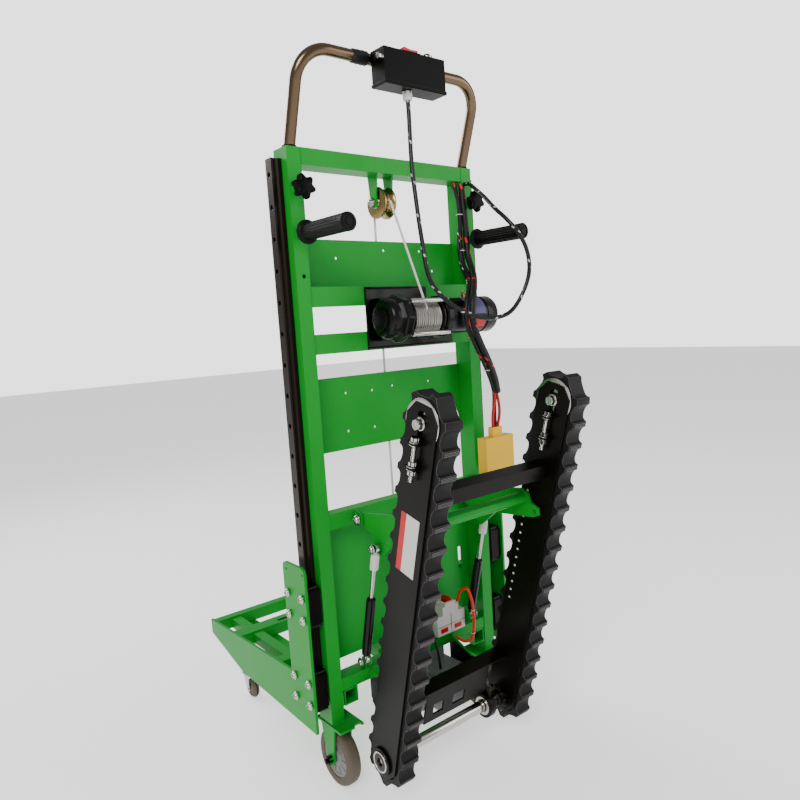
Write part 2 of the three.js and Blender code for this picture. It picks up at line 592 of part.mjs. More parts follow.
// A point on the belt's loop, given how far along it and how far out from the pulleys' centre line.
function loopPoint(distance, out) {
  const turn = Math.PI * belt.base;
  const { length } = track;
  const total = 2 * (length + turn);
  let s = ((distance % total) + total) % total;
  if (s < length) return point(-out, s);
  s -= length;
  if (s < turn) {
    const angle = s / belt.base;
    return point(-out * Math.cos(angle), length + out * Math.sin(angle));
  }
  s -= turn;
  if (s < length) return point(out, length - s);
  const angle = (s - length) / belt.base;
  return point(out * Math.cos(angle), -out * Math.sin(angle));
}

function rubberBelt(side) {
  const total = 2 * (track.length + Math.PI * belt.base);
  const pitch = total / belt.lugs;
  const outline = [];
  for (let i = 0; i < belt.lugs; i += 1) {
    const start = i * pitch;
    outline.push(loopPoint(start, belt.base));
    outline.push(loopPoint(start + pitch * 0.32, belt.base + 2));
    outline.push(loopPoint(start + pitch * 0.5, belt.tip));
    outline.push(loopPoint(start + pitch * 0.72, belt.tip));
  }
  const shape = new THREE.Shape(outline);
  const inside = new THREE.Path();
  inside.absarc(0, track.length, belt.inner, 0, Math.PI, false);
  inside.lineTo(-belt.inner, 0);
  inside.absarc(0, 0, belt.inner, Math.PI, 2 * Math.PI, false);
  inside.closePath();
  shape.holes.push(inside);
  return mirrorX(prismX(shape, belt.innerX, belt.outerX), side);
}

// One track's frame: an inner and an outer side plate joined by two spacer blocks inside the belt loop.
function trackFrame(side) {
  const { length } = track;
  const outline = new THREE.Shape();
  outline.moveTo(-plateX.half, -6);
  outline.lineTo(-plateX.half, length + 10);
  outline.lineTo(-plateX.half + 20, length + 34);
  outline.lineTo(plateX.half - 20, length + 34);
  outline.lineTo(plateX.half, length + 10);
  outline.lineTo(plateX.half, -6);
  outline.lineTo(18, -36);
  outline.lineTo(-18, -36);
  outline.closePath();
  const faces = [[plateX.inner, plateX.inner + plateX.thick], [plateX.outer - plateX.thick, plateX.outer]];
  const window = new THREE.Shape();
  window.absarc(0, length + 12, 11, 0, Math.PI, false);
  window.closePath();
  const sheets = faces.map(([a, b]) => {
    const slot = box(a - 1, b + 1, -6.5, 6.5, length - 26, length + 8);
    const shaftHole = cylinder('x', shaft.radius + 1, a - 1, b + 1, [0, 0], 20);
    return cut(prismX(outline, a, b), prismX(window, a - 1, b + 1), slot, shaftHole);
  });
  const spacers = [150, 330, 510].map((s) =>
    box(faces[0][1] - 1, faces[1][0] + 1, -30, 30, s - 12, s + 12));
  // belt tensioner on each outer face: two ears with a threaded rod through them
  const tensioners = [[plateX.outer, 1], [plateX.inner, -1]].map(([x, s]) => {
    const span = (from, to) => (s > 0 ? [x + from, x + to] : [x - to, x - from]);
    const ears = [-33, -78].map((dz) => box(...span(-0.5, 16), -13, 13, length + dz - 2, length + dz + 2));
    const centre = x + s * 9;
    const rod = cylinder('z', 4, length - 104, length - 26, [centre, 0], 8);
    const nuts = [-29, -73, -90].map((dz) => hexagon('z', 13, length + dz, length + dz + 7, [centre, 0]));
    return add(ears, rod, nuts);
  });
  return mirrorX(add(sheets, spacers, tensioners), side);
}

function idlerWheel(side) {
  const hub = cylinder('x', 34, belt.innerX + 2, belt.outerX - 2, [0, track.length], 20);
  const axle = cylinder('x', 6, plateX.inner - 4, plateX.outer + 4, [0, track.length], 12);
  const { inner, outer } = plateX;
  const heads = [[inner - 12, inner - gap], [outer + gap, outer + 12]].map(([a, b]) =>
    hexagon('x', 17, a, b, [0, track.length]));
  return mirrorX(add(hub, axle, heads), side);
}

function trackCrossBar() {
  const reach = plateX.inner - gap;
  const { along, half, off } = crossBar;
  return hollowX(-reach, reach, -off - half, -off + half, along - half, along + half, mast.wall);
}

// The lower channel: a web with two windows and a flange at its top edge.
function trackChannel() {
  const reach = plateX.inner - gap;
  const { top, bottom, depth, sheet } = channel;
  const webReach = shaft.bearingX - 4;
  const web = box(-webReach, webReach, 3, 3 + sheet, bottom, top);
  const flange = box(-reach, reach, 3, 3 + depth, top - sheet, top);
  const windows = [[-66, -38], [-12, 22]].map(([a, b]) => box(a, b, 0, 30, bottom + 16, top - 34));
  return cut(add(web, flange), windows);
}

function driveShaft() {
  const reach = plateX.outer + 3;
  const bar = cylinder('x', shaft.radius, -reach, reach, [0, 0], 20);
  const wheels = [-1, 1].map((s) => {
    const edge = [s * (belt.innerX + 2), s * (belt.outerX - 2)].sort((a, b) => a - b);
    return cylinder('x', 34, edge[0], edge[1], [0, 0], 20);
  });
  const teeth = 11;
  const outline = [];
  for (let i = 0; i < teeth * 2; i += 1) {
    const radius = i % 2 ? 24 : 31;
    const angle = (i / teeth) * Math.PI;
    outline.push(point(radius * Math.cos(angle), radius * Math.sin(angle)));
  }
  const disc = prismX(outline, shaft.sprocketX - 4, shaft.sprocketX + 4);
  const hub = cylinder('x', 18, shaft.sprocketX - 11, shaft.sprocketX + 9, [0, 0], 16);
  return add(bar, wheels, disc, hub);
}

function buildTrackUnit() {
  for (const [name, side] of sides) {
    piece(`track_frame_${name}`, trackFrame(side), black, trackUnit);
    piece(`track_belt_${name}`, rubberBelt(side), rubber, trackUnit);
    piece(`track_idler_${name}`, idlerWheel(side), steel, trackUnit);
  }
  piece('track_cross_bar', trackCrossBar(), black, trackUnit);
  piece('track_channel', trackChannel(), black, trackUnit);
  piece('drive_shaft', driveShaft(), steel, trackUnit);
}

// ---------------------------------------------------------------- support arm and gas struts
function supportArm() {
  const { x, y, z, thick, barY, barZ, barRadius } = arm;
  const outline = [point(y + 9, z + 8), point(y, z + 13), point(y - 40, z + 17),
    point(barY + 26, barZ + 16), point(barY, barZ + 19), point(barY - 16, barZ + 10),
    point(barY - 22, barZ - 8), point(barY - 42, barZ - 17), point(barY - 44, barZ - 32),
    point(barY - 30, barZ - 38), point(-130, z - 28),
    point(strut.topY - 14, strut.topZ - 12), point(strut.topY - 4, strut.topZ - 19),
    point(strut.topY + 10, strut.topZ - 14), point(-50, z - 28), point(y - 2, z - 14), point(y + 8, z - 9),
    point(y + 12, z)];
  const plates = [-1, 1].map((s) => {
    const sheet = prismX(outline, x - thick / 2, x + thick / 2);
    const bore = cylinder('x', 5 + gap, x - 10, x + 10, [y, z], 12);
    const eye = cylinder('x', 5, x - 10, x + 10, [barY - 32, barZ - 26], 12);
    const pin = cylinder('x', 4, x, strut.x - 5 - gap, [strut.topY, strut.topZ], 10);
    return mirrorX(add(cut(sheet, bore, eye), pin), s);
  });
  return add(cylinder('x', barRadius, -x, x, [barY, barZ], 18), plates);
}

// Struts are built along +Z from their foot, then leaned to point at the arm's lug.
function strutGroup(name, side) {
  const rise = strut.topZ - strut.footZ;
  const run = strut.footY - strut.topY;
  const length = Math.hypot(rise, run);
  const group = new THREE.Group();
  group.name = `gas_strut_${name}`;
  group.position.set(side * strut.x, strut.footY, strut.footZ);
  group.rotation.x = Math.atan2(run, rise);
  root.add(group);
  const footEye = cut(cylinder('x', 9, -5, 5, [0, 0], 16), cylinder('x', 4 + gap, -6, 6, [0, 0], 10));
  const bodyTop = length * 0.56;
  const shell = cylinder('z', strut.body, 12, bodyTop, [0, 0], 18);
  const bore = cylinder('z', strut.rod + gap, bodyTop - 90, bodyTop + 1, [0, 0], 12);
  const neck = cylinder('z', 5, 7, 13, [0, 0], 10);
  piece(`strut_body_${name}`, cut(add(shell, neck, footEye), bore), black, group);
  const stem = cylinder('z', strut.rod, bodyTop - 50, length - 7, [0, 0], 12);
  const topEye = cylinder('x', 9, -5, 5, [0, length], 16);
  const bolt = mirrorX(hexagon('x', 12, 4.9, 10, [0, length]), side);
  piece(`strut_rod_${name}`, add(stem, topEye, bolt), steel, group);
}

// ---------------------------------------------------------------- electrical pieces and cords
function breakerBody() {
  const { left, right, rear, front, height } = breaker;
  const base = lowerTube.top + gap;
  const body = box(left, right, rear, front, base, base + height - 28);
  const step = box(left + 18, right - 18, rear, front, base + 1, base + height - 8);
  const nose = box(left + 26, right - 26, rear, front, base + 2, base + height);
  const slot = box(left + 30, right - 30, rear + 6, front - 6, base + height - 12, base + height + 1);
  return cut(add(body, step, nose), slot);
}

function breakerToggle() {
  const base = lowerTube.top + gap + breaker.height;
  const middle = (breaker.left + breaker.right) / 2;
  const outline = [[-5, -9], [5, -9], [9, 5], [4, 9], [-3, 4]].map(([x, z]) => point(x, z));
  const depth = breaker.front - breaker.rear - 14;
  const geometry = new THREE.ExtrudeGeometry(new THREE.Shape(outline), { depth, bevelEnabled: false });
  geometry.applyMatrix4(new THREE.Matrix4().set(1, 0, 0, middle, 0, 0, -1, breaker.front - 7, 0, 1, 0, base,
    0, 0, 0, 1));
  return solid(geometry);
}

function driveMotor() {
  const { left, caseLeft, caseRight, rear, front, bottom, top } = motor;
  const gearCase = box(caseLeft, caseRight, rear, front, bottom, top);
  const midY = (rear + front) / 2;
  const midZ = (bottom + top) / 2;
  const can = cylinder('x', 34, left + 8, caseLeft + 1, [midY, midZ], 20);
  const cap = cylinder('x', 28, left, left + 9, [midY, midZ], 20);
  const foot = box(caseLeft + 10, caseRight - 10, 2, front, top - 1, lowerTube.bottom - gap);
  const stub = cylinder('x', 7, caseRight - 1, shaft.sprocketX + 5, [midY, midZ], 12);
  const sprocket = cylinder('x', 20, shaft.sprocketX - 4, shaft.sprocketX + 4, [midY, midZ], 18);
  return add(gearCase, can, cap, foot, stub, sprocket);
}

const vector = ([x, y, z]) => new THREE.Vector3(x, y, z);

function cord(points, radius, steps) {
  return pipe(new THREE.CatmullRomCurve3(points.map(vector), false, 'centripetal'), radius, steps, 4);
}

// The control lead: out of the gland under the box, down in a loop behind the winch, up to the right
// upright.
const controlLead = [[-8, -88, 1399.5], [-8, -89, 1375], [-10, -91, 1340], [-13, -95, 1270],
  [-15, -104, 1204], [-15, -115, 1125], [-10, -128, 1046], [17, -140, 1006], [58, -155, 978],
  [110, -168, 965], [157, -180, 975], [192, -190, 1019], [204, -196, 1060], [198, -197, 1101],
  [181, -190, 1138], [168, -172, 1166], [166, -142, 1192], [177, -102, 1222],
  [194, -58, 1248], [209, -25, 1265], [213.5, -13, 1269.5],
  [214, -1.1, 1270]];

// The battery lead: down the right upright's inner edge, across the winch's motor, then hanging to its
// connector.
const batteryLead = [[189, 6, 1274.2], [189, 5.7, 1264], [188, 0, 1246], [187, -7, 1222], [187, -9, 1099],
  [176, -40, 1062], [140, -78, 1036], [106, -106, 1008], [97, -110, 978], [103, -108, 948], [127, -99, 915],
  [167, -84, 868], [201, -68, 827], [222, -56, 794], [229, -47, 758], [connector.x, -45, 735],
  [connector.x, connector.y, connector.top + 0.4]];

// The breaker's red wire: up from its terminal, round in a loop and back into the lower crossbar.
const breakerWire = [[129, 12, 288.9], [129, 5, 312], [126, -12, 336], [130, -27, 343], [136, -34, 318],
  [138, -37, 280], [136, -38, 246], [127, -36, 222], [113, -28, 220], [106, -14, 226], [104, -0.7, 227]];

// The breaker's black wire: out of its other terminal and down to the motor's case.
const blackWire = [[53.4, 12, 300], [45, 11.5, 299.5], [34, 0, 293], [27, -16, 275], [26, -28, 250],
  [27, -34, 222], [29, -36, 202], [30, -36, motor.top + 0.4]];

function batteryConnector() {
  const { x, y, halfX, halfY, top, bottom } = connector;
  const housing = box(x - halfX, x + halfX, y - halfY, y + halfY, bottom, top - 22);
  const shoulder = box(x - 15, x + 15, y - 8, y + 8, top - 23, top);
  const sockets = [-12, 12].map((dx) => cylinder('z', 6, bottom - 1, bottom + 22, [x + dx, y], 12));
  return cut(add(housing, shoulder), sockets);
}

function buildElectrics() {
  piece('breaker_body', breakerBody(), whitePlastic);
  piece('breaker_toggle', breakerToggle(), redPlastic);
  piece('drive_motor', driveMotor(), greyPaint);
  piece('control_lead', cord(controlLead, 4.5, 44), plastic);
  piece('battery_lead', cord(batteryLead, 5, 34), plastic);
  piece('breaker_wire_red', cord(breakerWire, 3.5, 36), orange);
  piece('breaker_wire_black', cord(blackWire, 3, 18), plastic);
  piece('battery_connector', batteryConnector(), amber);
}

buildMast();
buildWheels();
buildHandle();
buildWinch();
buildCarriage();
buildTrackUnit();
piece('support_arm', supportArm(), green);
for (const [name, side] of sides) strutGroup(name, side);
buildElectrics();

export default root;
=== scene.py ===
"""Looks of the stair-climbing lift truck: finishes, fine pieces, cords, light and camera.

Places are written in millimetres in the mast's own frame: x to the right, y forward from the
mast's rear face, z up from the floor. place() turns them into the row frame's metres.
"""
import json
from math import copysign, cos, hypot, pi, radians, sin, sqrt

import bmesh
import bpy
from mathutils import Matrix, Vector


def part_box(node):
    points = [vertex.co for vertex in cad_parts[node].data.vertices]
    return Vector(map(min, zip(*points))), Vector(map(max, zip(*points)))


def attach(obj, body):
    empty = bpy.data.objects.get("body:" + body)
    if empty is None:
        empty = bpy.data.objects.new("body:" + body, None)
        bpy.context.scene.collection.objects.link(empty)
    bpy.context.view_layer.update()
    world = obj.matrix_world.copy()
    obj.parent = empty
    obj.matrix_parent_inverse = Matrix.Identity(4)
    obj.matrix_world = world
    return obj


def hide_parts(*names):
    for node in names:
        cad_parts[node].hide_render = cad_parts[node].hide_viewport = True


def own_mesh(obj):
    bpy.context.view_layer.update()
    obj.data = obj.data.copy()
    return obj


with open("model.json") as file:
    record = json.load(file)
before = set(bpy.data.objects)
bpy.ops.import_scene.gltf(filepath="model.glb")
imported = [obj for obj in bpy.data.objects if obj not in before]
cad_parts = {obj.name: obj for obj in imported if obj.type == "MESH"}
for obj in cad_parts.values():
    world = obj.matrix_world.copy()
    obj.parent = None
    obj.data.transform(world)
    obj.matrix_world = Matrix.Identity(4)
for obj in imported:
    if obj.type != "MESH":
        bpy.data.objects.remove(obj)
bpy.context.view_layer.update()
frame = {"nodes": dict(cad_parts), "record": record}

MM = 0.001
AXES = {"x": (1, 0, 0), "y": (0, 1, 0), "z": (0, 0, 1)}
RAIL_BACK = 21.0  # the guide rails' rear face, forward of the mast's rear face
MAST_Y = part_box("rail_left")[0].y - RAIL_BACK * MM
SIDES = (("left", -1), ("right", 1))
SHARP = 38  # degrees between two faces from which their edge is shaded sharp
CORE = 0.4  # inner radius of a turned solid, small enough to look closed

# Driving sizes, the same as the frame's own.
LEAN = radians(15.25)
TRACK_FOOT = (0, -110, 106)
TRACK_LENGTH = 717
BELT = {"inner_x": 148, "outer_x": 187, "inside": 38.5, "base": 46, "tip": 57.4, "lugs": 37}
HALF_TURN = pi * BELT["base"]
BELT_PITCH = 2 * (TRACK_LENGTH + HALF_TURN) / BELT["lugs"]
PLATE_X = (143, 192)
WHEEL = {"x": 206, "y": 28, "radius": 62, "width": 30}
CASTER = {"x": 184.5, "y": 496, "radius": 25, "width": 18}
WINCH = {"y": -62, "z": 975, "left": -89, "drum_left": -32, "drum_right": 50.5, "end": 206}
PULLEY = {"y": 30, "z": 1220}
ROPE = {"y": 60, "end": 372.3, "radius": 2.5, "behind": -0.6, "on_drum": (7, -93.4, 987.5)}
HANDLE = {"x": 220, "y": 14.5, "knee": 1307.5, "lean": 0.36, "rise": 179, "corner": 61, "radius": 11}
BOX = {"half": 75, "rear": -109, "front": -66.5, "bottom": 1417, "top": 1481}
ROCKER = {"x": -5, "y": -96, "half_x": 16.5, "half_y": 8}
BUTTON = {"x": 40, "y": -97}
BEARING_X = {"left": -130, "right": 92}
KNOB = {"x": 220, "z": 1228, "radius": 24}
GRIP = {"x": 220, "z": 1145, "start": -26.3, "length": 144, "radius": 16}
PLATE_OUTER = 277
BLOCK_BOLTS = {"y": 32.5, "heights": (413, 235), "dy": 28.5, "dz": 22.5}
ARM = {"x": 136, "y": -14, "z": 571}
STRUT = {"x": 151, "top": (-79, 525), "foot": (-12, 268)}


def place(x, y, z):
    """A point of the mast's own frame, in millimetres, as metres in the row frame."""
    return Vector((x * MM, y * MM + MAST_Y, z * MM))


def leaned(x, out, along):
    """A point of the track unit: out towards the operator's rear is negative, along runs up its plates."""
    y = TRACK_FOOT[1] + out * cos(LEAN) - along * sin(LEAN)
    z = TRACK_FOOT[2] + out * sin(LEAN) + along * cos(LEAN)
    return place(x, y, z)


# ---- mesh helpers
class Shape:
    """A mesh under construction, in metres of the row frame."""

    def __init__(self):
        self.mesh = bmesh.new()
        self.uv = self.mesh.loops.layers.uv.new("along")

    def skin(self, rings, closed=False, caps=True):
        """Joins rings of points, each ring of the same number, into a tube."""
        rows = [[self.mesh.verts.new(p) for p in ring] for ring in rings]
        count = len(rows[0])
        lengths = [0.0]
        for a, b in zip(rings, rings[1:]):
            lengths.append(lengths[-1] + (b[0] - a[0]).length)
        spans = list(range(len(rows) - 1)) + ([len(rows) - 1] if closed else [])
        for i in spans:
            following = rows[(i + 1) % len(rows)]
            near, far = lengths[i], lengths[min(i + 1, len(lengths) - 1)]
            for k in range(count):
                n = (k + 1) % count
                face = self.mesh.faces.new((rows[i][k], rows[i][n], following[n], following[k]))
                for loop, u, v in zip(face.loops, (near, near, far, far), (k, k + 1, k + 1, k)):
                    loop[self.uv].uv = (u, v / count)
        if caps and not closed:
            self.mesh.faces.new(list(reversed(rows[0])))
            self.mesh.faces.new(rows[-1])
        return self

    def prism(self, outline, direction):
        """A flat outline of points carried along a vector."""
        step = Vector(direction)
        return self.skin([[Vector(p) for p in outline], [Vector(p) + step for p in outline]])

    def block(self, low, high):
        """A box between two corners given in mast millimetres."""
        (x0, y0, z0), (x1, y1, z1) = low, high
        foot = [place(x0, y0, z0), place(x1, y0, z0), place(x1, y1, z0), place(x0, y1, z0)]
        return self.prism(foot, (0, 0, (z1 - z0) * MM))

    def turned(self, profile, centre, axis="x", segments=40, wave=None, closed=False):
        """A turned part: profile holds (radius, along) pairs in millimetres."""
        forward = Vector(AXES[axis] if isinstance(axis, str) else axis).normalized()
        side = forward.orthogonal().normalized()
        up = forward.cross(side)
        rings = []
        for radius, along in profile:
            ring = []
            for k in range(segments):
                angle = 2 * pi * k / segments
                reach = radius * (wave(angle, along) if wave else 1) * MM
                spoke = side * cos(angle) + up * sin(angle)
                ring.append(centre + forward * along * MM + spoke * reach)
            rings.append(ring)
        return self.skin(rings, closed=closed, caps=not closed)

    def tube(self, points, radius, sides=16, closed=False, swell=None):
        """A round tube along points, in metres; swell(i) scales its radius."""
        up = None
        rings = []
        for i, p in enumerate(points):
            before = points[i - 1] if i or closed else p
            after = points[(i + 1) % len(points)] if i + 1 < len(points) or closed else p
            ahead = (after - before).normalized()
            if up is None:
                up = ahead.orthogonal().normalized()
            up = (up - ahead * up.dot(ahead)).normalized()
            side = ahead.cross(up)
            reach = radius * MM * (swell(i) if swell else 1)
            turns = [2 * pi * k / sides for k in range(sides)]
            rings.append([p + (up * cos(t) + side * sin(t)) * reach for t in turns])
        return self.skin(rings, closed=closed, caps=not closed)


def ring_profile(radius, inner, half, soft):
    """A ring's closed section with rounded edges, as (radius, along) pairs."""
    points = []
    for cx, cy, start in ((radius - soft, half - soft, 0), (inner + soft, half - soft, 90),
                          (inner + soft, -half + soft, 180), (radius - soft, -half + soft, 270)):
        for step in range(5):
            angle = radians(start + 22.5 * step)
            points.append((cx + soft * cos(angle), cy + soft * sin(angle)))
    return points


def round_block(radius, start, end, soft=1.0):
    """A solid disc's profile with softened rims."""
    return [(radius * 0.02, start), (radius - soft, start), (radius - soft * 0.3, start + soft * 0.3),
            (radius, start + soft), (radius, end - soft), (radius - soft * 0.3, end - soft * 0.3),
            (radius - soft, end), (radius * 0.02, end)]


def solid(*profile):
    """A turned profile that closes on its axis at both ends."""
    return [(CORE, profile[0][1]), *profile, (CORE, profile[-1][1])]


def build(name, shape, material, body, slot="own", bevel=0.0, smooth=SHARP, replaces=()):
    """Turns a Shape into a piece that rides on a body; a slot is worked out from its finish but not used.
    """
    data = bpy.data.meshes.new(name)
    bmesh.ops.remove_doubles(shape.mesh, verts=shape.mesh.verts, dist=1e-6)
    bmesh.ops.recalc_face_normals(shape.mesh, faces=shape.mesh.faces)
    shape.mesh.to_mesh(data)
    shape.mesh.free()
    data.polygons.foreach_set("use_smooth", [True] * len(data.polygons))
    data.set_sharp_from_angle(angle=radians(smooth))
    obj = bpy.data.objects.new(name, data)
    bpy.context.scene.collection.objects.link(obj)
    data.materials.append(material)
    if bevel:
        edge = obj.modifiers.new("edge", "BEVEL")
        edge.width = bevel * MM
        edge.segments = 3
        edge.limit_method = "ANGLE"
        edge.angle_limit = radians(smooth)
    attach(obj, body)
    if slot == "own":
        slot = next((key for key, finish in SLOT_FINISH.items() if finish == material), None)
    if replaces:
        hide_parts(*replaces)
    return obj


def ring(name, sizes, centre, axis, segments, material, body, slot="own"):
    """A ring of sizes (radius, inner radius, half width, softness) as a piece of its own."""
    shape = Shape().turned(ring_profile(*sizes), centre, axis, segments, closed=True)
    return build(name, shape, material, body, slot)


def curve_points(points, count):
    """Evenly spaced points on a smooth curve through given points, both in millimetres."""
    knots = [Vector(p) for p in points]
    knots = [knots[0] * 2 - knots[1]] + knots + [knots[-1] * 2 - knots[-2]]
    fine = []
    for i in range(1, len(knots) - 2):
        a, b, c, d = knots[i - 1:i + 3]
        ta = 0.0
        tb = ta + max((b - a).length, 1e-6) ** 0.5
        tc = tb + max((c - b).length, 1e-6) ** 0.5
        td = tc + max((d - c).length, 1e-6) ** 0.5
        for step in range(16):
            t = tb + (tc - tb) * step / 16
            p1 = a * ((tb - t) / (tb - ta)) + b * ((t - ta) / (tb - ta))
            p2 = b * ((tc - t) / (tc - tb)) + c * ((t - tb) / (tc - tb))
            p3 = c * ((td - t) / (td - tc)) + d * ((t - tc) / (td - tc))
            q1 = p1 * ((tc - t) / (tc - ta)) + p2 * ((t - ta) / (tc - ta))
            q2 = p2 * ((td - t) / (td - tb)) + p3 * ((t - tb) / (td - tb))
            fine.append(q1 * ((tc - t) / (tc - tb)) + q2 * ((t - tb) / (tc - tb)))
    fine.append(knots[-2])
    lengths = [0.0]
    for p, q in zip(fine, fine[1:]):
        lengths.append(lengths[-1] + (q - p).length)
    even = []
    spot = 0
    for k in range(count):
        want = lengths[-1] * k / (count - 1)
        while spot < len(fine) - 2 and lengths[spot + 1] < want:
            spot += 1
        share = (want - lengths[spot]) / max(lengths[spot + 1] - lengths[spot], 1e-9)
        even.append(fine[spot].lerp(fine[spot + 1], min(max(share, 0), 1)))
    return [place(*p) for p in even], lengths[-1] * MM


# ---- materials
def add_node(tree, kind, values=None, sources=None, **settings):
    """A new node with its settings, its inputs' values and the outputs that feed its inputs."""
    node = tree.nodes.new(kind)
    for key, value in settings.items():
        setattr(node, key, value)
    for key, value in (values or {}).items():
        node.inputs[key].default_value = value
    for key, source in (sources or {}).items():
        tree.links.new(source, node.inputs[key])
    return node


CLOUD = 9.0  # blotches to the metre in every finish
SPREAD = 0.10  # how far the gloss strays to either side


def finish_of(name, colour, roughness, metallic=0.0, darker=0.75, grain=420.0, bump=0.08, edge_tint=None,
              edge=1.0, streak=(1, 1, 1), shine=0.3):
    """One procedural finish: clouded colour, uneven gloss, fine grain, softened edges and, where a tint is
    given, lighter edges.
    """
    material = bpy.data.materials.new(name)
    material.use_nodes = True
    tree = material.node_tree
    shader = tree.nodes["Principled BSDF"]
    shader.inputs["Metallic"].default_value = metallic
    shader.inputs["Specular IOR Level"].default_value = shine
    where = add_node(tree, "ShaderNodeTexCoord")
    stretch = add_node(tree, "ShaderNodeMapping", {"Scale": streak}, {"Vector": where.outputs["Object"]})

    def noise(scale, detail):
        texture = add_node(tree, "ShaderNodeTexNoise", {"Scale": scale, "Detail": detail},
                           {"Vector": stretch.outputs["Vector"]})
        return texture.outputs["Fac"]

    broad, fine = noise(CLOUD, 4), noise(grain, 3)
    dark = (*[c * darker for c in colour], 1)
    tint = add_node(tree, "ShaderNodeMix", {"A": dark, "B": (*colour, 1)}, {"Factor": broad},
                    data_type="RGBA")
    paint = tint.outputs["Result"]
    rounded = add_node(tree, "ShaderNodeBevel", {"Radius": edge * MM}, samples=4)
    if edge_tint:
        paint = lighter_edges(tree, paint, rounded, fine, edge_tint)
    gloss = add_node(tree, "ShaderNodeMapRange", {"To Min": max(roughness - SPREAD, 0.05),
                                                  "To Max": min(roughness + SPREAD, 1)}, {"Value": broad})
    relief = add_node(tree, "ShaderNodeBump", {"Strength": bump, "Distance": 0.0006},
                      {"Height": fine, "Normal": rounded.outputs["Normal"]})
    for key, source in (("Base Color", paint), ("Roughness", gloss.outputs["Result"]),
                        ("Normal", relief.outputs["Normal"])):
        tree.links.new(source, shader.inputs[key])
    return material


def lighter_edges(tree, paint, rounded, fine, edge_tint):
    """Lightens the edges, where the softened normal turns away from the face's own."""
    face = add_node(tree, "ShaderNodeNewGeometry")
    likeness = add_node(tree, "ShaderNodeVectorMath", operation="DOT_PRODUCT",
                        sources={0: rounded.outputs["Normal"], 1: face.outputs["Normal"]})
    mask = add_node(tree, "ShaderNodeMapRange", {"From Min": 0.995, "From Max": 0.86},
                    {"Value": likeness.outputs["Value"]})
    patchy = add_node(tree, "ShaderNodeMath", operation="MULTIPLY",
                      sources={0: mask.outputs["Result"], 1: fine})
    mix = add_node(tree, "ShaderNodeMix", data_type="RGBA", values={"B": (*edge_tint, 1)},
                   sources={"Factor": patchy.outputs["Value"], "A": paint})
    return mix.outputs["Result"]


def sleeve_finish(name, colour, fleck, roughness=0.5, pitch=0.016, spiral=0.075):
    """A braided cable sleeve: dark, with a thin tracer thread that winds round it."""
    material = finish_of(name, colour, roughness, grain=900, bump=0.25, edge=0.3)
    tree = material.node_tree
    base = tree.nodes["Principled BSDF"].inputs["Base Color"]
    along = add_node(tree, "ShaderNodeUVMap", uv_map="along")
    parts = add_node(tree, "ShaderNodeSeparateXYZ", sources={"Vector": along.outputs["UV"]})

    def math_node(operation, first, second):
        node = add_node(tree, "ShaderNodeMath", operation=operation)
        for socket, value in zip(node.inputs, (first, second)):
            if isinstance(value, (int, float)):
                socket.default_value = value
            else:
                tree.links.new(value, socket)
        return node.outputs["Value"]

    length, turn = parts.outputs["X"], parts.outputs["Y"]
    dash = math_node("LESS_THAN", math_node("FRACT", math_node("DIVIDE", length, pitch), 0), 0.4)
    winding = math_node("ADD", turn, math_node("DIVIDE", length, spiral))
    thread = math_node("LESS_THAN", math_node("FRACT", winding, 0), 0.13)
    mix = add_node(tree, "ShaderNodeMix", data_type="RGBA", values={"B": (*fleck, 1)},
                   sources={"Factor": math_node("MULTIPLY", dash, thread), "A": base.links[0].from_socket})
    tree.links.new(mix.outputs["Result"], base)
    return material


GREEN = finish_of("green_powder_coat", (0.0, 0.26, 0.018), 0.36, darker=0.86, grain=520, bump=0.10,
                  shine=0.16)
BLACK = finish_of("black_satin_paint", (0.0030, 0.0016, 0.0010), 0.34, darker=0.6, bump=0.06, shine=0.12,
                  edge_tint=(0.02, 0.015, 0.012))
RAIL = finish_of("blackened_rail", (0.022, 0.014, 0.011), 0.32, 0.75, darker=0.55, grain=700,
                 streak=(1, 1, 0.05))
# The lug rubber's edges are mixed towards a pale grey.
RUBBER = finish_of("lug_rubber", (0.006, 0.0055, 0.0055), 0.55, darker=0.7, grain=260, bump=0.35, shine=0.2,
                   edge_tint=(0.20, 0.18, 0.17), edge=2.0)
# Pale rubber of the lug-tip ribs: a painted highlight where light falls on the lug tips.
RIB_HIGHLIGHT_RUBBER = finish_of("rib_painted_highlight_rubber", (0.15, 0.14, 0.135), 0.6, darker=0.35, grain=300, bump=0.3)
GRIP_RUBBER = finish_of("grip_rubber", (0.0024, 0.0018, 0.0016), 0.5, grain=600, bump=0.3, shine=0.14)
TYRE = finish_of("grey_tyre", (0.105, 0.082, 0.058), 0.7, darker=0.8, grain=350, bump=0.25)
HUB = finish_of("grey_hub", (0.20, 0.19, 0.18), 0.4, darker=0.8)
# The handle steel's dark brown base colour is a painted reflection of brown surroundings, not a colour the
# steel has.
STAINLESS_PAINTED_REFLECTION = finish_of("stainless_painted_reflection", (0.17, 0.115, 0.07), 0.2, 1.0, darker=0.6, grain=900, bump=0.05,
                      streak=(0.2, 1, 1))
CHROME = finish_of("plated_steel", (0.52, 0.50, 0.47), 0.18, 1.0, darker=0.85, grain=300, bump=0.04)
DARK_STEEL = finish_of("oiled_dark_steel", (0.03, 0.027, 0.024), 0.3, 0.9, darker=0.6)
PLASTIC = finish_of("black_moulded_plastic", (0.0014, 0.0012, 0.0010), 0.4, grain=800, bump=0.12,
                    shine=0.08)
WINCH_BLACK = finish_of("winch_black", (0.0018, 0.0014, 0.0012), 0.24, darker=0.7, bump=0.05, shine=0.2)
ROPE_STEEL = finish_of("galvanised_rope", (0.42, 0.40, 0.37), 0.36, 0.85, darker=0.45, grain=1200, bump=0.5)
PALE_ROPE = finish_of("pale_rope", (0.66, 0.65, 0.61), 0.5, 0.2, darker=0.8, grain=1200, bump=0.4)
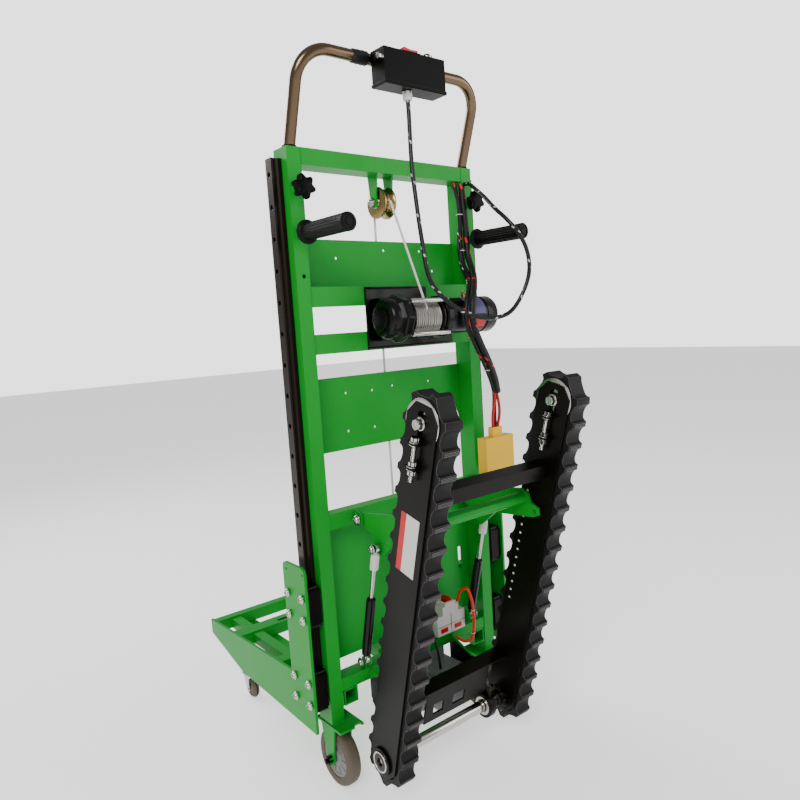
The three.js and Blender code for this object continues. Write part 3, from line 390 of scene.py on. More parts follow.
ZINC = finish_of("yellow_zinc", (0.36, 0.25, 0.10), 0.22, 1.0, darker=0.65, grain=260, bump=0.05)
RED = finish_of("red_switch_plastic", (0.50, 0.004, 0.004), 0.3, darker=0.85)
WHITE = finish_of("off_white_plastic", (0.60, 0.58, 0.54), 0.42, darker=0.93, grain=700, bump=0.08)
GREY = finish_of("grey_machine_paint", (0.20, 0.205, 0.21), 0.4, darker=0.8, bump=0.12)
AMBER = finish_of("amber_plastic", (0.74, 0.43, 0.0), 0.4, darker=0.86)
ORANGE_WIRE = finish_of("orange_red_wire", (0.70, 0.030, 0.006), 0.35, darker=0.88, edge=0.2)
RED_WIRE = finish_of("red_wire", (0.45, 0.005, 0.006), 0.35, darker=0.85, edge=0.2)
BLACK_WIRE = finish_of("black_wire", (0.004, 0.004, 0.004), 0.36, edge=0.2)
CONTROL_SLEEVE = sleeve_finish("control_sleeve", (0.004, 0.004, 0.004), (0.42, 0.40, 0.38), roughness=0.32)
BATTERY_SLEEVE = sleeve_finish("battery_sleeve", (0.004, 0.0035, 0.0035), (0.55, 0.004, 0.01), pitch=0.03,
                               spiral=0.12)
GREEN_SEAL = finish_of("block_seal", (0.010, 0.014, 0.010), 0.5)
LILAC = finish_of("plain_lilac_band", (0.075, 0.062, 0.17), 0.4, darker=0.8)
BRASS = finish_of("brass_terminal", (0.50, 0.34, 0.11), 0.28, 1.0, darker=0.8)
TAPE = finish_of("black_tape", (0.004, 0.004, 0.004), 0.5, grain=150, bump=0.4)

SLOT_FINISH = {"green_paint": GREEN, "black_paint": BLACK, "black_rubber": RUBBER, "rail_steel": RAIL,
               "grey_tyre": TYRE, "bright_steel": CHROME, "black_plastic": PLASTIC,
               "winch_black": WINCH_BLACK, "rope_steel": PALE_ROPE, "zinc_yellow": ZINC,
               "red_plastic": RED, "white_plastic": WHITE, "grey_paint": GREY, "cable_black": BLACK_WIRE,
               "cable_red": ORANGE_WIRE, "amber_plastic": AMBER}


def smoothing_group():
    """Geometry nodes that weld a CAD mesh's corners and shade its round faces smooth."""
    group = bpy.data.node_groups.new("weld_and_smooth", "GeometryNodeTree")
    for way in ("INPUT", "OUTPUT"):
        group.interface.new_socket("Geometry", in_out=way, socket_type="NodeSocketGeometry")
    start = add_node(group, "NodeGroupInput")
    weld = add_node(group, "GeometryNodeMergeByDistance", {"Distance": 1e-5},
                    {"Geometry": start.outputs[0]})
    smooth = add_node(group, "GeometryNodeSetShadeSmooth", sources={"Geometry": weld.outputs["Geometry"]})
    angle = add_node(group, "GeometryNodeInputMeshEdgeAngle")
    steep = add_node(group, "FunctionNodeCompare", operation="GREATER_THAN",
                     values={"B": radians(SHARP)}, sources={"A": angle.outputs["Unsigned Angle"]})
    sharpen = add_node(group, "GeometryNodeSetShadeSmooth", domain="EDGE", values={"Shade Smooth": False},
                       sources={"Geometry": smooth.outputs["Geometry"],
                                "Selection": steep.outputs["Result"]})
    add_node(group, "NodeGroupOutput", sources={0: sharpen.outputs["Geometry"]})
    return group


def dress_frame():
    """Gives each CAD node its finish and smooth shading."""
    group = smoothing_group()
    slots = {part["node"]: part["material_slot"] for part in frame["record"]["subparts"]}
    for name, obj in frame["nodes"].items():
        stored = obj.data.attributes.get("custom_normal")
        if stored:
            obj.data.attributes.remove(stored)
        obj.data.materials.clear()
        obj.data.materials.append(SLOT_FINISH[slots[name]])
        obj.modifiers.new("smooth", "NODES").node_group = group


# ---- small fastenings
def bolt(name, centre, direction, radius, height, body, material=CHROME):
    """A button head with a hex socket, standing on centre and facing direction."""
    shape = Shape()
    profile = [(radius * 0.03, height * 0.35), (radius * 0.45, height * 0.35), (radius * 0.48, height),
               (radius * 0.72, height * 0.97), (radius * 0.93, height * 0.6), (radius, 0), (radius, -0.6)]
    for outline in (profile, round_block(radius * 1.3, -0.4, 0.7, 0.3)):
        shape.turned(outline, centre, direction, 24)
    build(name, shape, material, body, "bright_steel")


def hex_nut(shape, centre, axis, flats, start, end):
    """Adds a six-sided nut to a shape."""
    reach = flats / sqrt(3)
    profile = [(0.1, start), (reach * 0.92, start), (reach, start + 0.8), (reach, end - 0.8),
               (reach * 0.92, end), (0.1, end)]
    shape.turned(profile, centre, axis, 6)


def zip_tie(name, centre, direction, radius, body):
    """A white cable tie with its head and cut tail."""
    ahead = Vector(direction).normalized()
    side = ahead.orthogonal().normalized()
    up = ahead.cross(side)
    loop = [centre + (side * cos(a) + up * sin(a)) * radius * MM
            for a in [2 * pi * k / 20 for k in range(20)]]
    shape = Shape().tube(loop, 1.1, 6, closed=True)
    head = centre + side * (radius + 1) * MM
    shape.tube([head - ahead * 2 * MM, head + ahead * 2 * MM], 2.4, 4)
    shape.tube([head, head + (side + up * 0.4).normalized() * 9 * MM], 0.9, 4)
    build(name, shape, WHITE, body, "white_plastic")


# ---- track unit
def belt_outline():
    """The lugged loop round both pulleys as (out, along) pairs; a lug has a hollow flank and a flat tip."""
    lug = ((0.0, 0.0), (0.06, 0.2), (0.14, 0.6), (0.24, 1.6), (0.33, 3.4), (0.41, 6.2), (0.46, 9.2),
           (0.49, 10.6), (0.52, 11.4), (0.60, 11.0), (0.62, 11.4), (0.71, 11.4), (0.735, 10.8),
           (0.745, 7.5), (0.78, 3.6), (0.84, 1.3), (0.92, 0.3))
    points = []
    for i in range(BELT["lugs"]):
        for share, height in lug:
            s = (i + share) * BELT_PITCH
            out = BELT["base"] + height
            if s < TRACK_LENGTH:
                points.append((-out, s))
            elif s < TRACK_LENGTH + HALF_TURN:
                angle = (s - TRACK_LENGTH) / BELT["base"]
                points.append((-out * cos(angle), TRACK_LENGTH + out * sin(angle)))
            elif s < 2 * TRACK_LENGTH + HALF_TURN:
                points.append((out, 2 * TRACK_LENGTH + HALF_TURN - s))
            else:
                angle = (s - 2 * TRACK_LENGTH - HALF_TURN) / BELT["base"]
                points.append((out * cos(angle), -out * sin(angle)))
    return points


def inner_outline(points, inside):
    """The belt's smooth inner face, one point for each point of its outer face."""
    inner = []
    for out, along in points:
        centre = min(max(along, 0), TRACK_LENGTH)
        if 0 <= along <= TRACK_LENGTH:
            inner.append((copysign(inside, out), along))
        else:
            reach = hypot(out, along - centre)
            inner.append((out / reach * inside, centre + (along - centre) / reach * inside))
    return inner


def track_belt(name, side):
    """One rubber belt with lugs outside, a smooth face inside and slightly drawn-in edges."""
    outer = belt_outline()
    inner = inner_outline(outer, BELT["inside"])
    x0, x1 = sorted((side * BELT["inner_x"], side * BELT["outer_x"]))
    soft, drawn_in, lug_root = 1.6, 0.985, 50
    shrunk = [(a * drawn_in if abs(a) > lug_root else a, b) for a, b in outer]
    rings = [[leaned(x, out, along) for out, along in points] for x, points in (
        (x0, shrunk), (x0 + soft, outer), (x1 - soft, outer), (x1, shrunk), (x1, inner), (x0, inner))]
    shape = Shape().skin(rings, closed=True, caps=False)
    build(f"belt_{name}", shape, RUBBER, "track_unit", smooth=30,
          replaces=[f"track_belt_{name}"])
    belt_ribs(name, x0, x1)


def belt_ribs(name, x0, x1):
    """Fine raised lines moulded across the tips of the rear run's lugs; their pale colour is a painted
    highlight of the light on the lug tips.
    """
    shape = Shape()
    for i in range(1, 15):
        for share in (0.545, 0.605, 0.665):
            along = (i + share) * BELT_PITCH
            shape.tube([leaned(x, -BELT["tip"] - 0.1, along) for x in (x0 + 3, x1 - 3)], 0.8, 6)
    build(f"belt_ribs_{name}", shape, RIB_HIGHLIGHT_RUBBER, "track_unit", "black_rubber")


def tensioner(name, x, outward):
    """A threaded rod with nuts and washers between two ears, on one face of a track plate."""
    axis = (leaned(0, 0, 1) - leaned(0, 0, 0)).normalized()
    centre = leaned(x + outward * 9, 0, 0)
    thread = [(4.35 if step % 2 else 3.7, TRACK_LENGTH - 104.5 + step) for step in range(79)]
    shape = Shape().turned([(0.1, thread[0][1]), *thread, (0.1, thread[-1][1])], centre, axis, 20)
    for start in (-30, -74, -91):
        hex_nut(shape, centre, axis, 13.6, TRACK_LENGTH + start, TRACK_LENGTH + start + 8)
    for start in (-31.5, -36.5, -76, -81.5):
        washer = round_block(9.5, TRACK_LENGTH + start, TRACK_LENGTH + start + 1.3, 0.3)
        shape.turned(washer, centre, axis, 24)
    build(f"tensioner_{name}", shape, CHROME, "track_unit", smooth=30)


def idler_bolts(name, side):
    """The idler axle's bolt heads and washers on the outside of both plates."""
    for label, x, outward in (("in", PLATE_X[0], -1), ("out", PLATE_X[1], 1)):
        shape = Shape()
        for profile in (round_block(12, 0, 2, 0.4),
                        [(0.3, 6), (4.4, 6), (4.8, 12.4), (8.4, 12.4), (9.2, 10.5), (9.4, 1.5)]):
            shape.turned(profile, leaned(side * (x + outward * 0.4), 0, TRACK_LENGTH),
                         (side * outward, 0, 0), 28)
        build(f"idler_bolt_{label}_{name}", shape, CHROME, f"idler_{name}")


def idler_flanges(name, side):
    """The bright rims of the upper belt wheel, seen between each side plate and the belt."""
    for label, x in (("outer", PLATE_X[1] - 2.6), ("inner", PLATE_X[0] + 2.6)):
        ring(f"idler_rim_{label}_{name}", (43.6, 33, 1.1, 0.4), leaned(side * x, 0, TRACK_LENGTH), "x", 48,
             CHROME, f"idler_{name}")


def slotted_rows(name, side):
    """Bright teeth of the chain guard seen on the inner face of a plate."""
    shape = Shape()
    for step in range(14):
        centre = leaned(side * (PLATE_X[0] - 0.4), 24, 250 + step * 20)
        shape.turned(round_block(2.6, -0.4, 0.5, 0.2), centre, (-side, 0, 0), 12)
    build(f"plate_studs_{name}", shape, WHITE, "track_unit", None)


def blank_sticker():
    """A plain two-tone label plate without any marking, on the left track's outer plate."""
    low, high = 430, 545
    for label, paint, near, far, lift in (("pale", WHITE, -26, 24, 0.4), ("red", RED, 10, 24.5, 0.8)):
        corners = ((near, low), (far, low), (far, high), (near, high))
        shape = Shape().prism([leaned(-PLATE_X[1] - lift, *corner) for corner in corners], (0.0003, 0, 0))
        build(f"blank_label_{label}", shape, paint, "track_unit",
              "white_plastic" if label == "pale" else "red_plastic")


def drive_line():
    """The polished drive shaft with its chain sprocket, belt pulleys, end bearings and hanger plates."""
    centre = place(*TRACK_FOOT)
    reach = PLATE_X[1] + 3
    shaft = Shape().turned(round_block(12.5, -reach, reach, 1.2), centre, "x", 48)
    build("shaft_bar", shaft, CHROME, "drive_shaft", replaces=["drive_shaft"])
    teeth = 13
    outline = []
    for i in range(teeth * 6):
        angle = 2 * pi * i / (teeth * 6)
        radius = (27.5 + 3.2 * cos(teeth * angle)) * MM
        outline.append(centre + Vector((126 * MM, radius * cos(angle), radius * sin(angle))))
    sprocket = Shape().prism(outline, (8 * MM, 0, 0))
    sprocket.turned(round_block(18, 119, 139, 1), centre, "x", 36)
    build("drive_sprocket", sprocket, DARK_STEEL, "drive_shaft", "bright_steel", bevel=0.6)
    for name, side in SIDES:
        edges = sorted((side * (BELT["inner_x"] + 2), side * (BELT["outer_x"] - 2)))
        pulley = Shape().turned(round_block(34, *edges, 1.5), centre, "x", 40)
        build(f"belt_pulley_{name}", pulley, DARK_STEEL, "drive_shaft", "bright_steel")
        for label, sizes, x, paint, slot in (
                ("", (21.6, 17.6, 3.5, 1.0), 195.6, CHROME, "bright_steel"),
                ("seal_", (18, 8, 3, 0.8), 195.6, DARK_STEEL, "black_paint"),
                ("flange_", (28, 21.6, 2.5, 0.8), 194.5, BLACK, "black_paint")):
            ring(f"end_bearing_{label}{name}", sizes, centre + Vector((side * x * MM, 0, 0)), "x", 40,
                 paint, "track_unit", slot)
        hanger_cover(name, side)


def hanger_cover(name, side):
    """Black plates and bearing houses that clothe the frame's two shaft hangers."""
    x = BEARING_X[name]
    x0, x1 = sorted((x - side * 0.6, x + side * 5.6))
    corners = [(0.6, 215), (0.6, 174), (-101, 81), (-127, 91), (-131, 119), (-90.5, 201), (-20, 226)]
    plate = Shape().prism([place(x0, y, z) for y, z in corners], ((x1 - x0) * MM, 0, 0))
    build(f"hanger_plate_{name}", plate, BLACK, "mast", bevel=0.6)
    centre = place(x, *TRACK_FOOT[1:])
    ring(f"bearing_house_{name}", (28, 13.4, 8.5, 1.5), centre, "x", 44, BLACK, "mast")
    ring(f"bearing_race_{name}", (21, 14, 9.4, 0.8), centre, "x", 44, CHROME, "mast")


def track_details():
    for name, side in SIDES:
        track_belt(name, side)
        idler_bolts(name, side)
        idler_flanges(name, side)
        tensioner(f"{name}_out", side * PLATE_X[1], side)
        tensioner(f"{name}_in", side * PLATE_X[0], -side)
    slotted_rows("right", 1)
    blank_sticker()
    drive_line()


# ---- wheels
def mirrored(*half):
    """A closed profile from its listed half: the other half is the same, the other way round."""
    return [*half, *[(radius, -along) for radius, along in reversed(half)]]


def road_wheel(name, body, centre, radius, width, node):
    """A crowned tyre on a ribbed hub."""
    half = width / 2
    rim, bore = radius * 0.68, radius * 0.13
    tyre = mirrored((rim, -half + 3), (rim + 1, -half + 1), (radius - 7, -half), (radius - 3, -half + 2.2),
                    (radius - 0.8, -half + 6), (radius, -half + 10))
    shape = Shape().turned(tyre, centre, "x", 72, closed=True)
    build(f"tyre_{name}", shape, TYRE, body, "grey_tyre", replaces=[node])
    hub = mirrored((bore, -half + 1), (radius * 0.26, -half + 1), (radius * 0.30, -half + 3),
                   (radius * 0.34, -half + 6), (rim * 0.86, -half + 6), (rim * 0.93, -half + 3.5),
                   (rim + 0.3, -half + 3.2))
    shape = Shape().turned(hub, centre, "x", 60, closed=True)
    for k in range(10):
        angle = 2 * pi * k / 10
        for face in (-half + 5.5, half - 5.5):
            spoke = [centre + Vector((face, r * cos(angle), r * sin(angle))) * MM
                     for r in (radius * 0.28, rim * 0.92)]
            shape.tube(spoke, 1.7, 8)
    build(f"hub_{name}", shape, HUB, body, "grey_tyre")


def wheels():
    for name, side in SIDES:
        for label, body, sizes in (("main", "wheel", WHEEL), ("caster", "caster_wheel", CASTER)):
            centre = place(side * sizes["x"], sizes["y"], sizes["radius"])
            road_wheel(f"{label}_{name}", f"{body}_{name}", centre, sizes["radius"], sizes["width"],
                       f"{body}_{name}")
        end = place(side * 228.2, WHEEL["y"], WHEEL["radius"])
        nut = Shape()
        hex_nut(nut, end, (side, 0, 0), 17.6, 0, 9)
        nut.turned(round_block(5.6, 0, 14.5, 1), end, (side, 0, 0), 20)
        build(f"axle_nut_{name}", nut, PLASTIC, "mast")
        ring(f"swivel_race_{name}", (13, 10.2, 4.2, 0.6), place(side * CASTER["x"], 512, 67.5), "z", 32,
             CHROME, f"caster_{name}")


# ---- handle, control box and hand parts
def handle_points():
    """The bent tube's centre line, in mast millimetres."""
    x, y, knee, rise, corner = (HANDLE[k] for k in ("x", "y", "knee", "rise", "corner"))
    lean = HANDLE["lean"]

    def up(px, h):
        return Vector((px, y - h * sin(lean), knee + h * cos(lean)))

    points = [Vector((-x, y, 1082)), Vector((-x, y, knee - 8))]
    bend = 16
    for step in range(7):
        angle = lean * step / 6
        points.append(Vector((-x, y - bend * (1 - cos(angle)), knee - 4 + bend * sin(angle))))
    points.append(up(-x, rise - corner))
    for step in range(1, 13):
        angle = pi / 2 * step / 12
        h = rise - corner + corner * sin(angle)
        points.append(up(-x + corner * (1 - cos(angle)), h))
    mirrored = [Vector((-p.x, p.y, p.z)) for p in reversed(points)]
    return [place(*p) for p in points + mirrored]


def hand_parts():
    tube = Shape().tube(handle_points(), HANDLE["radius"], 28)
    # The tube's brown base colour is a painted reflection.
    build("handle_tube", tube, STAINLESS_PAINTED_REFLECTION, "handle", "bright_steel", replaces=["handle_bar"])
    bar_y = HANDLE["y"] - HANDLE["rise"] * sin(HANDLE["lean"])
    bar_z = HANDLE["knee"] + HANDLE["rise"] * cos(HANDLE["lean"])
    skin = HANDLE["radius"] + 0.2
    tape = [(skin, -109), (13.1, -106), (12.7, -100), (13.5, -95), (12.9, -89), (13.7, -84), (13.0, -79),
            (13.3, -75), (skin, -73)]
    sleeve = Shape().turned(tape, place(0, bar_y, bar_z), "x", 32)
    build("tape_sleeve", sleeve, TAPE, "handle", "black_plastic")
    box_fittings()
    for name, side in SIDES:
        ring(f"tube_collar_{name}", (14.2, 11.3, 1.6, 0.5), place(side * 220, HANDLE["y"], 1308.7), "z", 36,
             PLASTIC, "mast")
        star_knob(name, side)
        rubber_grip(name, side)


def box_fittings():
    half, rear, front = BOX["half"], BOX["rear"], BOX["front"]
    bottom, top = BOX["bottom"], BOX["top"]
    for name, proud, low, high, paint, slot in (
            ("box_seam", 0.6, bottom + 3.2, bottom + 4.2, TAPE, "black_plastic"),
            ("box_floor", 0.5, bottom - 2.8, bottom - 2.1, BLACK, "black_paint")):
        layer = Shape().block((-half - proud, rear - proud, low), (half + proud, front + proud, high))
        build(name, layer, paint, "handle", slot)
    foot = place(-half - 8, rear + 4, 1462)
    pin = Shape().turned(round_block(3.6, 0, 34, 0.8), foot, "x", 20)
    hex_nut(pin, foot, "x", 10, -5, 1)
    build("box_pin", pin, CHROME, "handle")
    mouth = place(-8, -88, bottom - 9.4)
    gland = Shape()
    hex_nut(gland, mouth, "z", 19.2, -1.2, 6)
    gland.turned([(7.2, -11), (8.6, -10.4), (9.4, -8), (9.4, -2), (8.4, -0.9), (6.8, -0.9)], mouth, "z", 30)
    build("gland_collar", gland, WHITE, "handle")
    bezel = Shape()
    reach_x, reach_y, rim = ROCKER["half_x"] + 4.4, ROCKER["half_y"] + 2.8, 1.8
    x0, x1 = ROCKER["x"] - reach_x, ROCKER["x"] + reach_x
    y0, y1 = ROCKER["y"] - reach_y, ROCKER["y"] + reach_y
    for low, high in (((x0, y0), (x1, y0 + rim)), ((x0, y1 - rim), (x1, y1)),
                      ((x0, y0), (x0 + rim, y1)), ((x1 - rim, y0), (x1, y1))):
        bezel.block((*low, top + 0.1), (*high, top + 1.7))
    build("rocker_bezel", bezel, PLASTIC, "handle", bevel=0.4)
    ring("button_ring", (10.5, 7.8, 1.8, 0.4), place(BUTTON["x"], BUTTON["y"], top + 1.9), "z", 32, CHROME,
         "handle")
    for k, (x, y) in enumerate(((-half + 7, rear + 7), (half - 7, rear + 7), (-half + 7, front - 7),
                                (half - 7, front - 7))):
        bolt(f"lid_screw_{k}", place(x, y, top), (0, 0, 1), 2.6, 1.4, "handle", DARK_STEEL)


def star_knob(name, side):
    """A six-lobed moulded knob with a domed face on a plated stud."""
    centre = place(side * KNOB["x"], 0, KNOB["z"])
    head = [(CORE, -18), (9, -18), (13, -19.6), (21, -20.6), (23.6, -23), (24, -28), (23.4, -33), (20, -36),
            (12, -37.2), (CORE, -37.6)]
    shape = Shape().turned(head, centre, "y", 72, wave=lambda angle, _: 0.86 + 0.14 * cos(6 * angle))
    shape.turned([(CORE, -9), (9.5, -9), (10, -10), (10.5, -20), (CORE, -20)], centre, "y", 32)
    build(f"knob_{name}_star", shape, PLASTIC, f"knob_{name}", smooth=50,
          replaces=[f"star_knob_{name}"])
    stud = Shape().turned(round_block(5, -12, -1, 0.4), centre, "y", 20)
    hex_nut(stud, centre, "y", 15, -9.5, -3.5)
    build(f"knob_{name}_stud", stud, CHROME, "mast")


def rubber_grip(name, side):
    """A moulded grip: a wide guard flange, a finely fluted sleeve and a stepped round end."""
    centre = place(side * GRIP["x"], GRIP["start"], GRIP["z"])
    radius, length = GRIP["radius"], GRIP["length"]

    def flutes(angle, along):
        return 1 + (0.028 * cos(22 * angle) if -length + 12 < along < -12 else 0)

    profile = [(CORE, 0), (9.5, 0), (radius + 5, 0), (radius + 6.8, -1.4), (radius + 6.8, -3.4),
               (radius + 4, -5), (radius + 0.8, -7), (radius, -11), (radius, -12.5), (radius, -40),
               (radius, -70), (radius, -100), (radius, -length + 12.5), (radius, -length + 11),
               (radius + 0.8, -length + 9), (radius + 0.8, -length + 2), (radius - 1, -length + 0.4),
               (radius - 4.5, -length), (radius - 5, -length + 1.6), (radius - 9, -length + 1.8),
               (radius - 9.5, -length + 0.4), (CORE, -length + 0.2)]
    build(f"grip_{name}", Shape().turned(profile, centre, "y", 88, wave=flutes), GRIP_RUBBER, "mast",
          "black_rubber", replaces=[f"side_grip_{name}"])


# ---- winch and pulley
def winch_details():
    z = WINCH["z"]
    centre = place(0, WINCH["y"], z)
    left, drum_left, drum_right, end = (WINCH[k] for k in ("left", "drum_left", "drum_right", "end"))
    for label, sides, bevel, smooth, profile in (
            ("gear_case", 8, 2.2, 25, solid((41, left + 22), (47, drum_left - 27), (49, drum_left - 24),
                                            (49, drum_left - 7), (46, drum_left - 4.5))),
            ("gear_cap", 44, 0, SHARP, solid((33, left + 3), (38, left + 6), (40.5, left + 12),
                                             (40.5, left + 24))),
            ("drum_support", 12, 1.2, 20, solid((43, drum_right + 2), (45, drum_right + 5),
                                                (45, drum_right + 20), (42, drum_right + 24))),
            ("motor_can", 56, 0, SHARP, solid((38, drum_right + 24), (38, end - 34), (39.6, end - 33),
                                              (39.6, end - 8), (37, end - 3), (28, end)))):
        build(f"winch_{label}", Shape().turned(profile, centre, "x", sides), WINCH_BLACK, "mast",
              bevel=bevel, smooth=smooth, replaces=["winch_body"] if label == "gear_case" else ())
    knob = Shape().turned(solid((20, left - 5), (24, left - 2), (25, left + 4)), centre, "x", 48,
                          wave=lambda angle, along: 1 + 0.04 * cos(12 * angle))
    build("winch_clutch_knob", knob, PLASTIC, "mast", "winch_black")
    for label, bevel, blocks in (
            ("mount", 1.0, (((-81, -3.4, 916), (80, -0.4, 1042)), ((79, -3.4, 916), (150, -0.4, 985)),
                            ((-81, -20, 1039), (44, -0.4, 1042)), ((-81, -20, 916), (130, -0.4, 919)))),
            ("feet", 1.5, (((drum_left - 28, -22, z - 44), (drum_left - 6, -3.4, z + 44)),
                           ((drum_right + 3, -26, z - 42), (drum_right + 20, -3.4, z + 42))))):
        shape = Shape()
        for low, high in blocks:
            shape.block(low, high)
        build(f"winch_{label}", shape, WINCH_BLACK, "mast", bevel=bevel)
    band_x = (drum_right + end) / 2 + 12
    for label, start, stop, paint in (("upper", 20, 88, LILAC), ("lower", 100, 134, RED)):
        band = Shape().prism(arc_strip(band_x - 26, centre, 38.1, start, stop), (52 * MM, 0, 0))
        build(f"winch_plain_band_{label}", band, paint, "mast", None, smooth=40)
    winch_rods(centre, drum_left, drum_right)
    winch_drum(centre, drum_left, drum_right)


def arc_strip(x, centre, radius, start, stop):
    """A thin strip's outline on the winch's rear side, its angles in degrees down from straight up."""
    steps = 12
    angles = [radians(start + (stop - start) * k / steps) for k in range(steps + 1)]
    rim = [(radius + 0.7, a) for a in angles] + [(radius - 0.4, a) for a in reversed(angles)]
    return [Vector((place(x, 0, 0).x, centre.y - r * MM * sin(a), centre.z + r * MM * cos(a)))
            for r, a in rim]


def winch_rods(centre, drum_left, drum_right):
    for label, dz in (("upper", 33), ("lower", -33)):
        middle = centre + Vector((0, -38, dz)) * MM
        rod = Shape().turned(round_block(5.2, drum_left - 8, drum_right + 6, 0.6), middle, "x", 24)
        build(f"winch_rod_{label}", rod, CHROME, "mast")
    for k, (dx, up) in enumerate(((78, (0, 0, 1)), (104, (0, 0, 1)), (92, (0, 0, -1)))):
        post = centre + Vector((drum_right + dx, -8, 0)) * MM
        stud = Shape().turned(round_block(3, 36, 52, 0.5), post, up, 16)
        hex_nut(stud, post, up, 11, 40, 45)
        hex_nut(stud, post, up, 9, 46, 50)
        build(f"winch_terminal_{k}", stud, BRASS, "mast", "zinc_yellow")


def winch_drum(centre, drum_left, drum_right):
    drum = Shape()
    for x in (drum_left, drum_right - 5):
        drum.turned(solid((38, x), (40, x + 1), (40, x + 4), (38, x + 5)), centre, "x", 48)
    drum.turned(round_block(26, drum_left + 4, drum_right - 4, 0.5), centre, "x", 40)
    build("drum_flanges", drum, DARK_STEEL, "drum", "winch_black", replaces=["winch_drum"])
    coil = Shape()
    pitch, steps = 5.3, 28
    turns = int((drum_right - drum_left - 11) / pitch)
    for layer, radius in enumerate((30.5, 34.4)):
        points = []
        for k in range(turns * steps + 1):
            share = k / steps
            reach = radius + 0.5 * sin(share * 2.1 + layer * 2)
            along = drum_left + 8 + pitch * (share if layer == 0 else turns - share - 0.5 * layer)
            along = min(max(along, drum_left + 7.6), drum_right - 7.6)
            angle = 2 * pi * share * (1 if layer == 0 else -1)
            points.append(centre + Vector((along, reach * cos(angle), reach * sin(angle))) * MM)
        coil.tube(points, 2.7, 6)
    build("rope_coil", coil, ROPE_STEEL, "drum", "rope_steel")


def pulley_details():
    centre = place(0, PULLEY["y"], PULLEY["z"])
    profile = [(5.4, -15.6), (31, -15.6), (33, -14.4), (33, -11.5), (31.5, -9.8), (28.5, -4.5), (27.2, 0),
               (28.5, 4.5), (31.5, 9.8), (33, 11.5), (33, 14.4), (31, 15.6), (5.4, 15.6)]
    wheel = Shape().turned(profile, centre, "x", 64, closed=True)
    build("pulley_wheel", wheel, ZINC, "pulley", replaces=["rope_pulley"])
    for name, side in SIDES:
        middle = centre + Vector((side * 16.2 * MM, 0, 0))
        ring(f"pulley_bearing_{name}", (12, 6, 1.6, 0.4), middle, "x", 32, CHROME, "pulley")
        nut = Shape()
        hex_nut(nut, centre, (side, 0, 0), 15.6, 22.2, 29)
        nut.turned(round_block(5.2, 22, 33, 0.8), centre, (side, 0, 0), 20)
        build(f"pulley_nut_{name}", nut, CHROME, "mast")


def ropes():
    """The rope's two straight stretches; on the truck the one in front shortens as the deck rises, here
    both keep their length on the mast.
    """
    top = place(0, ROPE["y"], PULLEY["z"])
    strands = {}
    for label, start, end in (
            ("front", top, place(0, ROPE["y"], ROPE["end"])),
            ("rear", place(0, ROPE["behind"], PULLEY["z"]), place(*ROPE["on_drum"]))):
        strands[label] = build(f"rope_{label}_strand", Shape().tube([start, end], ROPE["radius"], 14),
                               PALE_ROPE, "mast", smooth=60, replaces=[f"rope_{label}"])
    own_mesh(strands["front"])


# ---- mast, carriage and arm fittings
def rail_bolts(name, side):
    """Socket-head bolts deep in the guide rail's counterbores."""
    shape = Shape()
    profile = [(2.2, -1), (2.2, 2.5), (4.6, 2.5), (4.9, 2.1), (4.9, -1)]
    for step in range(18):
        shape.turned(profile, place(side * 249, 32.5, 1257 - 60 * step), (side, 0, 0), 14, closed=True)
    build(f"rail_bolts_{name}", shape, DARK_STEEL, "mast", "rail_steel")


def carriage_bolts(name, side):
    heights, dy, dz = (BLOCK_BOLTS[k] for k in ("heights", "dy", "dz"))
    spots = [(BLOCK_BOLTS["y"] + y, z + rise) for z in heights for rise in (-dz, dz) for y in (-dy, dy)]
    for index, spot in enumerate(spots):
        bolt(f"carriage_bolt_{name}_{index}", place(side * (PLATE_OUTER + 3.2), *spot), (side, 0, 0), 6.9,
             4.6, "carriage")
    seals = Shape()
    x0, x1 = sorted((side * 243, side * 264))
    for z in heights:
        for middle in (z - 40.5, z + 40.5):
            for y0, y1 in ((0, 20), (45, 64.5)):
                seals.block((x0, y0, middle - 1.4), (x1, y1, middle + 1.4))
    build(f"block_seals_{name}", seals, GREEN_SEAL, "carriage", "black_rubber", bevel=0.4)


def arm_fittings():
    for name, side in SIDES:
        for label, (x, y, z), radius, height, body in (
                ("arm_pivot", (ARM["x"] + 13.4, ARM["y"], ARM["z"]), 9.4, 6, "mast"),
                ("strut_foot", (STRUT["x"] + 12.8, *STRUT["foot"]), 7.2, 5, "mast"),
                ("strut_top", (STRUT["x"] + 9.9, *STRUT["top"]), 7.2, 5, f"strut_rod_{name}"),
                ("arm_eye", (ARM["x"] + 2.8, -245, 564), 6.6, 4, "arm")):
            bolt(f"{label}_bolt_{name}", place(side * x, y, z), (side, 0, 0), radius, height, body)
        gas_strut(name, side)


